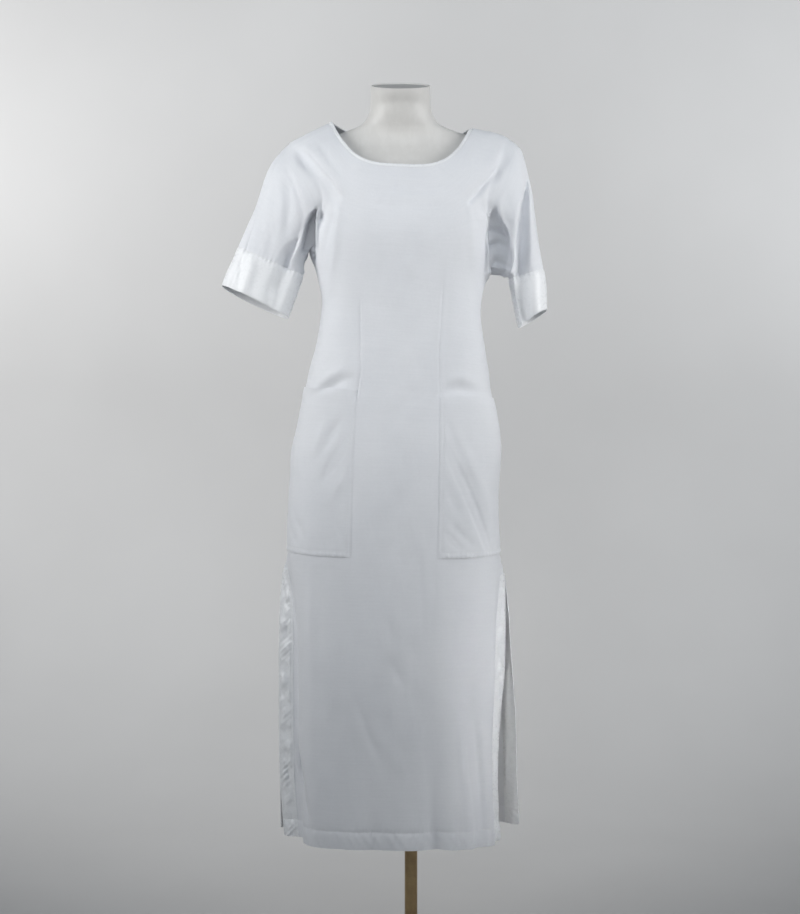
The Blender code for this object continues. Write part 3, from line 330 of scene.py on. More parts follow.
def sleeve_point(side, t, back, n):
    """One half ring, from the underarm seam to the overarm seam."""
    p = half_ring(side, t, ring_angles(side, t, back, n), back)
    # the armhole lies on the body's surface, and the rings after it ease away from there
    a = ring(side, 0.0, ring_angles(side, 0.0, back, n), back)
    x = look(ARMHOLE, "left" if side < 0 else "right", a[:, 2])
    ease = 1 - step(t, 0, 0.6)
    p[:, 0] += (x - a[:, 0]) * ease
    p[:, 1] += (surface_y(x, a[:, 2], back) - a[:, 1]) * ease
    # front and back stay apart beside the underarm seam
    s = np.sqrt(((p - p[0]) ** 2).sum(axis=1))
    lim = p[0, 1] + WEB * step(s, 0, 14) * (1 if back else -1)
    short = np.maximum(lim - p[:, 1], 0) if back else np.minimum(lim - p[:, 1], 0)
    p[:, 1] += short * (1 - step(s, 45, 90))
    # points spread along the line, none on top of another
    s = np.concatenate([[0], np.cumsum(np.sqrt((np.diff(p, axis=0) ** 2).sum(axis=1)))])
    at = 0.75 * s[-1] * np.arange(n + 1) / n + 0.25 * s
    return np.stack([np.interp(at, s, p[:, k]) for k in range(3)], axis=-1)


def resample(poly, idx, pos, n):
    """Points at n + 1 columns on a polyline; column idx[k] is at arc length pos[k]."""
    seg = np.sqrt((np.diff(poly, axis=0) ** 2).sum(axis=1))
    s = np.concatenate([[0], np.cumsum(seg)])
    at = np.interp(np.arange(n + 1), idx, pos)
    return np.stack([np.interp(at, s, poly[:, k]) for k in range(3)], axis=-1)


def arc_at_x(poly, x):
    seg = np.sqrt((np.diff(poly, axis=0) ** 2).sum(axis=1))
    s = np.concatenate([[0], np.cumsum(seg)])
    return float(np.interp(x, poly[:, 0], s)), float(s[-1])


# how the front's free edges turn beside the slits: dip of the panel, and edge drawn forward
TURN = table("z dip_l fore_l out_l dip_r fore_r out_r", (250, 8, 17, 2, 18, 30, 0),
             (400, 11, 20, 2, 19, 30, 0), (540, 12, 21, 1, 17, 27, -1), (620, 10, 16, 0, 11, 17, -1),
             (668, 5, 7, 0, 4, 6, 0), (700, 0, 0, 0, 0, 0, 0), (1500, 0, 0, 0, 0, 0, 0))


def low_row(zl, zr, back, sc):
    """A row below the underarm, between heights zl on the left and zr on the right."""
    u = np.linspace(-1, 1, 1201)
    X = np.sin(u * math.pi / 2)
    edge = BACK_EDGE if back else FRONT_EDGE
    z = zl + (zr - zl) * (X + 1) / 2
    xl, xr = look(edge, "left", z), look(edge, "right", z)
    x = 0.5 * (xl + xr) + 0.5 * (xr - xl) * X
    y = surface_y(x, z, back)
    poly = np.stack([x, y, z], axis=-1)
    seg = np.sqrt((np.diff(poly, axis=0) ** 2).sum(axis=1))
    s = np.concatenate([[0], np.cumsum(seg)])
    reach = 44.0
    poly[:, 0] -= look(edge, "flare_l", zl) * np.clip(1 - s / reach, 0, 1) ** 1.6
    poly[:, 0] += look(edge, "flare_r", zr) * np.clip(1 - (s[-1] - s) / reach, 0, 1) ** 1.6
    if not back:
        # beside the slits the panel dips in a little, then its free edges turn to the front
        for hand, e, zz, c in ((1, s, zl, "l"), (-1, s[-1] - s, zr, "r")):
            mid, wide, far = (34.0, 22.0, 31.0) if hand > 0 else (38.0, 24.0, 44.0)
            poly[:, 0] += hand * look(TURN, "dip_" + c, zz) * np.exp(-((e - mid) / wide) ** 2)
            poly[:, 0] -= hand * look(TURN, "out_" + c, zz) * np.exp(-(e / 16.0) ** 2)
            poly[:, 1] -= look(TURN, "fore_" + c, zz) * np.exp(-(e / far) ** 2)
    order = np.maximum.accumulate(poly[:, 0])
    poly[:, 0] = order + np.arange(len(order)) * 1e-9
    n = COLS * sc
    sd_l, total = arc_at_x(poly, float(look(DART, "left", zl)))
    sd_r, _ = arc_at_x(poly, float(look(DART, "right", zr)))
    free = 1 - step(zl, 697, 800)
    b_l = free * BAND_W + (1 - free) * sd_l * C_BAND / C_DART
    b_r = free * BAND_W + (1 - free) * (total - sd_r) * C_BAND / C_DART
    k = sc
    d = DART_HALF
    idx = [0, C_BAND * k, C_DART * k - 1, C_DART * k, C_DART * k + 1, n - C_DART * k - 1,
           n - C_DART * k, n - C_DART * k + 1, n - C_BAND * k, n]
    pos = [0, b_l, sd_l - d, sd_l, sd_l + d, sd_r - d, sd_r, sd_r + d, total - b_r, total]
    return resample(poly, idx, pos, n)


_arm = {}


def armhole_ends(back, n_up):
    """Both armhole lines, underarm to shoulder."""
    if (back, n_up) not in _arm:
        _arm[back, n_up] = {s: sleeve_point(s, 0.0, back, n_up) for s in (-1, 1)}
    return _arm[back, n_up]


_share = {}


def height_shares(back, n_up):
    """How far up to the shoulder each row above the underarm lies, always growing."""
    if (back, n_up) not in _share:
        ends = armhole_ends(back, n_up)
        t = np.arange(n_up + 1) / n_up
        out = {}
        for s in (-1, 1):
            lo, hi = low_z(ends[s][:, 0]), ridge_z(ends[s][:, 0])
            w = np.maximum.accumulate(np.clip((ends[s][:, 2] - lo) / (hi - lo), 0, 1))
            out[s] = (w + 0.16 * t) / 1.16
        _share[back, n_up] = out
    return _share[back, n_up]


def high_row(q, n_up, back, sc):
    """A row above the underarm, from armhole to armhole; q counts up to the shoulder."""
    a = {s: armhole_ends(back, n_up)[s][q] for s in (-1, 1)}
    w = {s: height_shares(back, n_up)[s][q] for s in (-1, 1)}
    if q == n_up:
        w = {-1: 1.0, 1: 1.0}
    if q == 0:
        w = {-1: 0.0, 1: 0.0}
    # the round of the body, then its ends drawn out to the armhole points
    edge = BACK_EDGE if back else FRONT_EDGE
    x0 = max(a[-1][0], float(look(edge, "left", a[-1][2])))
    x1 = min(a[1][0], float(look(edge, "right", a[1][2])))
    u = (1 - np.cos(np.linspace(0, math.pi, 1201))) / 2
    x = x0 + (x1 - x0) * u
    ww = w[-1] + (w[1] - w[-1]) * step(u, 0, 1)
    z = low_z(x) + (top_z(x, back) - low_z(x)) * ww
    y = surface_y(x, z, back)
    for s, end in ((-1, 0), (1, -1)):
        off = np.array([a[s][0] - x[end], a[s][1] - y[end], a[s][2] - z[end]])
        run = np.abs(x - x[end])
        x = x + off[0] * np.clip(1 - run / 40.0, 0, 1) ** 1.6
        y = y + off[1] * np.exp(-(run / 42.0) ** 2)
        z = z + off[2] * np.exp(-(run / 42.0) ** 2)
    poly = np.stack([x, y, z], axis=-1)
    n = COLS * sc
    k = sc
    sd_l, total = arc_at_x(poly, float(look(DART, "left", z[len(z) // 4])))
    sd_r, _ = arc_at_x(poly, float(look(DART, "right", z[len(z) // 4])))
    m = BIND_W + GAP
    sn_l, _ = arc_at_x(poly, HP[-1][0] - m)
    sn_r, _ = arc_at_x(poly, HP[1][0] + m)
    t = step(0.5 * (w[-1] + w[1]), 0.15, 1.0)
    n_l = (1 - t) * sd_l * C_NECK / C_DART + t * sn_l
    n_r = (1 - t) * (total - sd_r) * C_NECK / C_DART + t * (total - sn_r)
    d = DART_HALF
    idx = [0, C_NECK * k, C_DART * k - 1, C_DART * k, C_DART * k + 1, n - C_DART * k - 1,
           n - C_DART * k, n - C_DART * k + 1, n - C_NECK * k, n]
    pos = [0, n_l, sd_l - d, sd_l, sd_l + d, sd_r - d, sd_r, sd_r + d, total - n_r, total]
    return resample(poly, idx, pos, n)


def body_grid(back, sr, sc):
    """All rows of a panel's body; returns the grid and the index of each named row."""
    rows, named = [], {}
    for k, (name, zl, zr, count) in enumerate(ROWS[:-1]):
        named[name] = len(rows)
        nl, nr = ROWS[k + 1][1], ROWS[k + 1][2]
        m = count * sr
        e = DART_HALF / (nl - zl)
        # the rows next to a named one lie close to it, so that a stitched line stays narrow
        ts = np.concatenate([[0.0], np.linspace(e, 1 - e, m - 1)])
        for t in ts:
            rows.append(low_row(zl + (nl - zl) * t, zr + (nr - zr) * t, back, sc))
    named["underarm"] = len(rows)
    n_up = N_UP * sr
    # the rows below the underarm ease into the shape of the first row above it
    first = high_row(0, n_up, back, sc)
    off = first - low_row(ROWS[-1][1], ROWS[-1][2], back, sc)
    for r in range(named["pocket mouth"], len(rows)):
        rows[r] = rows[r] + off * float(step(rows[r][0, 2], ROWS[-1][1] - 70, ROWS[-1][1]))
    for q in range(n_up + 1):
        rows.append(high_row(q, n_up, back, sc))
    rows = np.array(rows)
    # across the height of the underarm the rows pass into each other smoothly
    soft = rows.copy()
    for _ in range(110):
        soft[1:-1] = 0.25 * soft[:-2] + 0.5 * soft[1:-1] + 0.25 * soft[2:]
    u = named["underarm"]
    run = np.concatenate([np.zeros((len(rows), 1)),
                          np.cumsum(np.sqrt((np.diff(rows, axis=1) ** 2).sum(axis=-1)), axis=1)], axis=1)
    run = np.minimum(run, run[:, -1:] - run)
    r = np.arange(len(rows))[:, None]
    w = step(run, 4, 30) * step(r, u - 30, u - 10) * (1 - step(r, u + 46, u + 64))
    rows = rows * (1 - w[..., None]) + soft * w[..., None]
    return rows, named


# ------------------------------------------------------------------ skin and its normals
def unit(v):
    return v / np.maximum(np.sqrt((v ** 2).sum(axis=-1, keepdims=True)), 1e-9)


class Skin:
    """Grids of points with outward normals shared where the grids meet."""

    def __init__(self):
        self.grids, self.flip = {}, {}

    def add(self, name, grid, flip):
        self.grids[name], self.flip[name] = grid, flip

    def normals(self):
        keys, vecs = [], []
        for name, g in self.grids.items():
            e1 = np.zeros_like(g)
            a, b, c, d = g[:-1, :-1], g[:-1, 1:], g[1:, 1:], g[1:, :-1]
            f = np.cross(c - a, d - b) * (-1 if self.flip[name] else 1)
            e1[:-1, :-1] += f
            e1[:-1, 1:] += f
            e1[1:, 1:] += f
            e1[1:, :-1] += f
            keys.append(np.round(g.reshape(-1, 3) * 100).astype(np.int64))
            vecs.append(e1.reshape(-1, 3))
        allk, allv = np.concatenate(keys), np.concatenate(vecs)
        _, inv = np.unique(allk, axis=0, return_inverse=True)
        inv = inv.reshape(-1)
        acc = np.zeros((inv.max() + 1, 3))
        np.add.at(acc, inv, allv)
        acc /= np.maximum(np.sqrt((acc ** 2).sum(axis=1)), 1e-12)[:, None]
        n, out, at = acc[inv], {}, 0
        for name, g in self.grids.items():
            m = g.shape[0] * g.shape[1]
            out[name] = n[at:at + m].reshape(g.shape)
            at += m
        return out


def build_skin(sr, sc, ss):
    skin = Skin()
    named = {}
    n_up, ns, nc = N_UP * sr, N_SLEEVE * ss, N_CUFF * ss
    for back, tag in ((False, "front"), (True, "back")):
        grid, named = body_grid(back, sr, sc)
        skin.add(tag, grid, back)
        for side, lr in ((-1, "left"), (1, "right")):
            t = np.concatenate([np.arange(ns + 1) / ns, 1 + np.arange(1, nc + 1) / nc])
            rings = np.array([sleeve_point(side, v, back, n_up) for v in t])
            u = named["underarm"]
            rings[0] = grid[u:, 0 if side < 0 else -1]
            skin.add(tag + "_sleeve_" + lr, rings, (side > 0) != back)
    # the two halves meet on the same points along every closed seam
    s0, u = named["slit top"], named["underarm"]
    f, b = skin.grids["front"], skin.grids["back"]
    for col in (0, -1):
        m = 0.5 * (f[s0:u + 1, col] + b[s0:u + 1, col])
        f[s0:u + 1, col] = b[s0:u + 1, col] = m
    cn = C_NECK * sc
    for sl in (slice(0, cn + 1), slice(COLS * sc - cn, None)):
        m = 0.5 * (f[-1, sl] + b[-1, sl])
        f[-1, sl] = b[-1, sl] = m
    for lr, col in (("left", 0), ("right", -1)):
        sf, sb = skin.grids["front_sleeve_" + lr], skin.grids["back_sleeve_" + lr]
        sf[0], sb[0] = f[u:, col], b[u:, col]
        for q in (0, -1):
            m = 0.5 * (sf[:, q] + sb[:, q])
            sf[:, q] = sb[:, q] = m
    n = skin.normals()
    for tag, back in (("front", False), ("back", True)):
        for part in (tag, tag + "_sleeve_left", tag + "_sleeve_right"):
            g = skin.grids[part]
            push = fold_push(g[..., 0], g[..., 2], back)
            if part != tag:
                push[ns:] = 0.0
                push *= np.linspace(1, 0, g.shape[0])[:, None] ** 0.5
                push[:, 0] = push[:, -1] = 0.0
            else:
                push[-1] = 0.0
                push[s0:u + 1, 0] = push[s0:u + 1, -1] = 0.0
            skin.grids[part] = g - n[part] * push[..., None]
    for tag in ("front", "back"):
        for lr, col in (("left", 0), ("right", -1)):
            skin.grids[tag + "_sleeve_" + lr][0] = skin.grids[tag][u:, col]
    n = skin.normals()
    # at a sharply folded sleeve seam the wall goes inwards between the two halves
    for lr in ("left", "right"):
        f, b = "front_sleeve_" + lr, "back_sleeve_" + lr
        for q, nxt in ((0, 1), (-1, -2)):
            p = skin.grids[f][:, q]
            inward = unit(skin.grids[f][:, nxt] - p) + unit(skin.grids[b][:, nxt] - p)
            inward = 1.5 * inward - n[f][:, q]
            along = unit(np.gradient(p, axis=0))
            inward = unit(inward - along * (inward * along).sum(axis=1)[:, None])
            n[f][1:, q] = n[b][1:, q] = -inward[1:]
    return skin, n, named
# ------------------------------------------------------------------ small creases
def crease(x, z, pts, lip=0.0, sharp=0.0):
    """Depth of one crease along a line of (x, z, depth, width); lip raises its upper-left side."""
    p = np.array(pts, float)
    best = np.full(np.shape(x), 1e9)
    dep = np.zeros(np.shape(x))
    wid = np.ones(np.shape(x))
    sgn = np.zeros(np.shape(x))
    end = np.zeros(np.shape(x))
    seg = np.sqrt(((p[1:, :2] - p[:-1, :2]) ** 2).sum(axis=1))
    at = np.concatenate([[0], np.cumsum(seg)])
    for k in range(len(p) - 1):
        ax, az = p[k, 0], p[k, 1]
        dx, dz = (p[k + 1, 0] - ax) / seg[k], (p[k + 1, 1] - az) / seg[k]
        s = (x - ax) * dx + (z - az) * dz
        t = np.clip(s / seg[k], 0, 1)
        cx, cz = x - (ax + t * seg[k] * dx), z - (az + t * seg[k] * dz)
        d = np.hypot(cx, cz)
        side = cx * dz - cz * dx
        m = d < best
        best = np.where(m, d, best)
        tt = pchip(np.array([0.0, 1.0]), np.array([0.0, 1.0]), t)
        dep = np.where(m, p[k, 2] + (p[k + 1, 2] - p[k, 2]) * tt, dep)
        wid = np.where(m, p[k, 3] + (p[k + 1, 3] - p[k, 3]) * tt, wid)
        sgn = np.where(m, np.sign(side), sgn)
    q = best / wid
    soft = np.exp(-q ** 2)
    keen = np.exp(-1.6 * q)
    prof = (1 - sharp) * soft + sharp * keen
    return dep * (prof - lip * sgn * q * soft)


def creases(x, z, table_):
    out = np.zeros(np.shape(x))
    for c in table_:
        out += crease(x, z, c[0], *(c[1:]))
    return out


class Noise:
    """Smooth seeded noise on the plane; each layer is a sum of waves in random directions."""

    def __init__(self, seed, size, n=28, stretch=1.0):
        r = np.random.default_rng(seed)
        a = r.uniform(0, 2 * math.pi, n)
        k = 2 * math.pi / size * r.uniform(0.6, 1.5, n)
        self.kx, self.kz = np.cos(a) * k, np.sin(a) * k / stretch
        self.ph = r.uniform(0, 2 * math.pi, n)
        self.n = n

    def __call__(self, x, z):
        out = np.zeros(np.shape(x))
        for kx, kz, ph in zip(self.kx, self.kz, self.ph):
            out += np.sin(kx * x + kz * z + ph)
        return out / math.sqrt(self.n / 2.0)


class Wander:
    """Uneven waves along a line: the spacing and the height both drift."""

    def __init__(self, seed, pitch):
        r = np.random.default_rng(seed)
        self.k = 2 * math.pi / pitch * r.uniform(0.7, 1.35, 7)
        self.ph = r.uniform(0, 2 * math.pi, 7)
        self.am = r.uniform(0.4, 1.0, 7)

    def __call__(self, s):
        out = np.zeros(np.shape(s))
        for k, ph, a in zip(self.k, self.ph, self.am):
            out += a * np.sin(k * s + ph)
        return out / 2.2


# x, z, depth and width (mm) along each crease of the front; + goes inwards
FRONT_CREASES = [
    # from the left shoulder down towards the bust
    ([(-190, 1404, 0.0, 7), (-178, 1386, 5.0, 8), (-160, 1364, 6.6, 7.5), (-140, 1342, 6.4, 7),
      (-126, 1322, 4.4, 6), (-117, 1306, 1.2, 5), (-115, 1298, 0, 5)], 0.55),
    ([(-168, 1412, 0, 8), (-150, 1384, -2.8, 8.5), (-128, 1352, -2.8, 7.5), (-106, 1322, 0, 8)],),
    ([(-160, 1418, 0, 6), (-140, 1386, 0.9, 6), (-122, 1362, 0.7, 6), (-104, 1338, 0, 6)],),
    # from the right shoulder, fine and straight, then softer
    ([(155, 1382, 0.0, 6), (144, 1368, 2.8, 5.5), (131, 1351, 4.5, 5), (118, 1335, 5.2, 4.4),
      (106, 1319, 4.8, 3.8), (97, 1308, 2.8, 3.2), (91, 1301, 0, 3)], 0.9, 0.35),
    ([(150, 1396, 0, 8), (130, 1366, -1.9, 7.5), (108, 1339, -2.0, 6.5), (88, 1318, 0, 7)],),
    ([(170, 1366, 0, 7), (152, 1336, 1.6, 7), (137, 1312, 1.2, 6), (128, 1300, 0, 6)],),
    # across the upper chest
    ([(-110, 1300, 0, 9), (-62, 1325, 1.3, 10), (14, 1329, 1.9, 10), (64, 1326, 1.2, 9),
      (88, 1302, 0, 8)], -0.4),
    ([(-122, 1297, 0, 8), (-70, 1300, 0.8, 10), (10, 1298, 0.9, 11), (92, 1298, 0, 8)],),
    # small ones beside the neckline on the right
    ([(28, 1371, 0, 4), (45, 1360, 1.0, 4), (66, 1344, 0.8, 4), (80, 1334, 0, 4)], 0.4),
    ([(40, 1377, 0, 3.5), (56, 1366, 0.8, 3.5), (74, 1352, 0.5, 3.5), (86, 1343, 0, 4)], 0.3),
    ([(62, 1386, 0, 3.5), (74, 1374, 0.7, 4), (90, 1358, 0, 4)],),
    ([(-64, 1372, 0, 4), (-84, 1362, 0.5, 5), (-104, 1350, 0, 5)],),
    # where the front turns back under the arms
    ([(-112, 1312, 0, 5), (-119, 1299, -2.4, 5.5), (-123, 1256, -3.6, 6.5), (-129, 1211, -3.0, 7),
      (-138, 1160, -1.0, 7), (-142, 1140, 0, 7)], 0.2),
    ([(-131, 1292, 0, 3.5), (-133, 1278, 3.6, 4.5), (-139, 1256, 4.2, 5), (-144, 1232, 2.6, 5),
      (-147, 1200, 1.2, 6), (-148, 1180, 0, 6)],),
    ([(-147, 1300, 0, 2.6), (-148.5, 1288, 2.6, 3.0), (-149, 1273, 2.2, 3.2), (-149, 1254, 0.8, 3.5),
      (-149, 1240, 0, 4)],),
    ([(88, 1310, 0, 6), (95, 1298, -1.4, 6), (101, 1261, -2.0, 8), (104, 1214, -1.6, 8),
      (109, 1150, 0, 8)], -0.2),
    ([(113, 1280, 0, 5), (117, 1250, 1.2, 5), (115, 1210, 1.0, 6), (113, 1170, 0, 6)],),
    # faint upright ones in the middle, below the pockets
    ([(14, 738, 0, 6), (15, 690, 1.8, 6), (17, 620, 1.6, 7), (20, 530, 0, 8)],),
    ([(-24, 744, 0, 7), (-25, 694, -1.6, 7), (-27, 620, -1.2, 8), (-28, 540, 0, 8)],),
    ([(41, 735, 0, 6), (42, 680, 1.5, 6), (44, 600, 1.1, 7), (46, 510, 0, 8)],),
    ([(-60, 720, 0, 7), (-62, 660, 1.1, 7), (-64, 590, 0.8, 8), (-66, 500, 0, 8)],),
    # waist, drawn slightly from the darts to the side seams
    ([(-146, 1126, 0, 7), (-122, 1118, 0.9, 8), (-98, 1122, 0, 8)],),
    ([(-150, 1092, 0, 7), (-126, 1080, 1.1, 8), (-100, 1078, 0, 8)],),
    ([(118, 1112, 0, 7), (92, 1100, 0.9, 8), (66, 1102, 0, 8)],),
    ([(124, 1072, 0, 7), (98, 1062, 1.0, 8), (70, 1066, 0, 8)],),
    # above the left pocket: a ridge that stands over the gaping mouth
    ([(-180, 985, 0, 7), (-170, 995, -2.6, 8), (-152, 1006, -4.6, 8), (-134, 1017, -5.0, 7),
      (-116, 1029, -2.6, 7), (-104, 1037, 0, 7)], 0.0, 0.15),
    ([(-152, 993, 0, 6), (-134, 1000, 3.6, 7), (-115, 1010, 4.4, 8), (-98, 1016, 1.6, 7),
      (-88, 1020, 0, 6)],),
    ([(-160, 1028, 0, 7), (-140, 1041, 1.4, 8), (-116, 1056, 0, 8)],),
    # above the right pocket, softer
    ([(46, 990, 0, 6), (62, 996, 1.8, 8), (80, 999, 3.4, 9), (99, 995, 2.0, 9), (114, 990, 0, 8)],),
    ([(56, 1012, 0, 8), (84, 1017, -2.2, 9), (110, 1008, -1.4, 9), (130, 996, 0, 8)],),
    # skirt, middle
    ([(-104, 512, 0, 8), (-82, 462, 1.1, 8), (-64, 419, 1.4, 7), (-46, 388, 0, 7)], 0.5),
    ([(-116, 470, 0, 9), (-98, 420, 0.9, 9), (-84, 372, 0, 9)],),
    ([(-35, 560, 0, 6), (-24, 529, 1.1, 6), (-9, 505, 0, 6)], 0.5),
    ([(-20, 640, 0, 9), (-8, 560, -0.9, 9), (-2, 470, -0.7, 9), (4, 380, 0, 9)],),
    ([(24, 700, 0, 9), (30, 600, 0.8, 9), (27, 480, 0.8, 9), (24, 380, 0, 9)],),
    ([(-60, 690, 0, 10), (-66, 600, -1.0, 10), (-60, 500, 0, 10)],),
    ([(-100, 690, 0, 8), (-104, 610, 0.9, 9), (-110, 520, 0.8, 9), (-118, 430, 0, 9)],),
    ([(-30, 420, 0, 8), (-20, 370, 0.7, 8), (-16, 320, 0, 8)],),
    ([(60, 676, 0, 8), (66, 600, 0.9, 8), (68, 520, 0, 8)],),
    ([(-150, 690, 0, 8), (-152, 600, 1.0, 9), (-150, 500, 1.0, 9), (-146, 410, 0, 9)],),
    # skirt, lower right: a lit fold with a trough behind it
    ([(76, 470, 0, 6), (80, 436, -3.4, 6), (84, 376, -4.8, 6), (90, 311, -4.8, 6),
      (96, 252, -3.6, 6)],),
    ([(62, 440, 0, 8), (66, 400, 1.2, 8), (70, 340, 1.4, 8), (74, 290, 1.0, 8), (78, 252, 0.6, 8)],),
    ([(100, 470, 0, 7), (108, 427, 4.4, 7), (113, 358, 5.8, 7), (117, 276, 4.8, 7),
      (120, 250, 3.6, 7)],),
    ([(128, 400, 0, 5), (132, 350, -1.4, 6), (134, 300, -1.6, 6), (136, 250, -1.2, 6)],),
    # beside the band of the left slit
    ([(-192, 700, 0, 6), (-187, 650, 1.8, 6), (-186, 560, 2.4, 6.5), (-187, 480, 2.0, 6),
      (-188, 440, 0, 6)],),
    ([(-168, 700, 0, 8), (-166, 640, -1.8, 8), (-164, 560, -1.6, 8), (-160, 480, 0, 8)],),
    # skirt, lower left: the panel rolls towards the band
    ([(-196, 470, 0, 4), (-193, 440, 2.6, 4.5), (-187, 395, 4.6, 5), (-179, 345, 5.0, 5.5),
      (-170, 298, 3.6, 5.5), (-164, 262, 1.6, 6), (-162, 250, 1.0, 6)], -0.3, 0.2),
    ([(-186, 450, 0, 6), (-179, 400, -2.6, 6.5), (-170, 348, -3.0, 7), (-160, 300, -2.0, 7),
      (-154, 252, -0.8, 8)],),
    ([(-205, 420, 0, 4), (-202, 390, -1.6, 4.5), (-197, 350, -2.0, 5), (-190, 305, -1.2, 5),
      (-186, 260, 0, 5)],),
    ([(-146, 330, 0, 7), (-143, 290, 1.0, 7), (-146, 252, 1.2, 7)],),
    ([(-60, 320, 0, 8), (-58, 280, 0.8, 8), (-62, 250, 1.0, 8)],),
    ([(10, 330, 0, 7), (6, 290, -0.8, 7), (8, 250, -1.0, 7)],),
]
# folds that the pocket patches share with the panel under them
POCKET_CREASES = [
    ([(-88, 936, 0, 7), (-112, 902, 2.8, 8), (-133, 871, 3.2, 8), (-152, 838, 0, 8)], 0.5),
    ([(-108, 962, 0, 7), (-128, 928, 2.4, 7.5), (-148, 893, 1.6, 7), (-158, 876, 0, 7)], 0.4),
    ([(-128, 960, 0, 7), (-146, 926, -2.2, 8), (-160, 893, 0, 8)],),
    ([(-92, 880, 0, 8), (-118, 840, -2.0, 9), (-140, 800, 0, 9)],),
    ([(-186, 900, 0, 7), (-190, 850, 1.2, 7), (-192, 800, 0, 7)],),
    ([(-196, 800, 0, 5), (-184, 770, 1.5, 5), (-176, 746, 0, 5)], 0.3),
    ([(-200, 770, 0, 4), (-192, 748, 1.2, 4), (-188, 736, 0, 4)],),
    ([(-120, 790, 0, 7), (-112, 758, 0.9, 7), (-108, 735, 0, 6)],),
    ([(48, 930, 0, 6), (60, 900, 1.6, 7), (76, 866, 3.6, 7), (92, 830, 5.0, 7), (107, 794, 5.4, 7),
      (122, 752, 4.0, 6), (130, 726, 1.0, 6)], -0.8, 0.2),
    ([(50, 966, 0, 7), (60, 936, 2.0, 7), (74, 902, 2.0, 7), (84, 876, 0, 7)], -0.4),
    ([(70, 930, 0, 8), (94, 880, -2.4, 9), (114, 830, -2.8, 9), (132, 780, -1.2, 9), (138, 750, 0, 9)],),
    ([(48, 770, 0, 6), (62, 754, 1.8, 6), (78, 736, 1.4, 6), (84, 728, 0, 6)],),
    ([(50, 800, 0, 7), (70, 770, 1.2, 7), (96, 744, 0.8, 6), (112, 730, 0, 6)],),
    ([(49, 860, 0, 7), (62, 822, 1.0, 7), (82, 782, 0, 7)],),
]
BACK_CREASES = [
    ([(-186, 1400, 0, 8), (-160, 1374, 2.6, 9), (-134, 1344, 3.2, 9), (-112, 1318, 0.6, 8)], 0.3),
    ([(150, 1396, 0, 8), (128, 1366, 2.6, 9), (104, 1334, 2.8, 8), (86, 1310, 0, 8)], -0.3),
    ([(-100, 1330, 0, 9), (-60, 1342, 1.1, 10), (0, 1345, 1.3, 11), (60, 1338, 0, 10)],),
    ([(-70, 1404, 0, 7), (-30, 1392, 1.0, 8), (14, 1391, 1.0, 8), (52, 1400, 0, 7)],),
    ([(-120, 1290, 0, 7), (-126, 1240, -1.8, 8), (-133, 1190, 0, 8)],),
    ([(92, 1280, 0, 7), (98, 1230, -1.8, 8), (102, 1180, 0, 8)],),
    ([(-146, 1290, 0, 5), (-148, 1255, 2.0, 6), (-147, 1212, 0, 6)],),
    ([(116, 1270, 0, 5), (118, 1240, 1.6, 6), (116, 1196, 0, 6)],),
    # the small of the back: shallow cross folds
    ([(-110, 1120, 0, 8), (-60, 1104, 1.6, 10), (0, 1100, 1.2, 10), (60, 1108, 0, 9)],),
    ([(-84, 1074, 0, 8), (-30, 1062, 1.9, 10), (34, 1066, 1.5, 10), (90, 1080, 0, 8)],),
    ([(-120, 1042, 0, 8), (-70, 1030, 1.2, 9), (-20, 1026, 0, 9)],),
    ([(110, 1040, 0, 8), (70, 1024, 1.2, 9), (24, 1020, 0, 9)],),
    ([(-126, 1150, 0, 7), (-92, 1142, 1.1, 8), (-50, 1150, 0, 8)],),
    ([(102, 1146, 0, 7), (72, 1136, 1.0, 8), (34, 1142, 0, 8)],),
    # seat and skirt
    ([(-30, 880, 0, 12), (-24, 780, 1.2, 12), (-18, 640, 1.2, 12), (-20, 500, 0, 12)],),
    ([(-120, 840, 0, 10), (-128, 740, 1.0, 10), (-132, 620, 1.2, 10), (-136, 480, 0, 10)],),
    ([(90, 820, 0, 10), (96, 700, 1.0, 10), (100, 560, 1.0, 10), (104, 440, 0, 10)],),
    ([(40, 700, 0, 9), (46, 600, -1.0, 9), (50, 470, 0, 9)],),
    ([(-70, 560, 0, 8), (-56, 500, 1.1, 8), (-44, 450, 0, 8)], 0.4),
    ([(18, 460, 0, 8), (30, 410, 1.0, 8), (36, 360, 0, 8)], 0.4),
    ([(-110, 420, 0, 7), (-104, 350, -1.8, 8), (-108, 252, -2.0, 8)],),
    ([(-150, 400, 0, 7), (-152, 330, 1.8, 8), (-158, 252, 2.0, 8)],),
    ([(84, 400, 0, 8), (90, 330, -1.8, 8), (94, 252, -2.0, 8)],),
    ([(0, 340, 0, 8), (2, 296, 1.0, 8), (-2, 252, 1.2, 8)],),
]
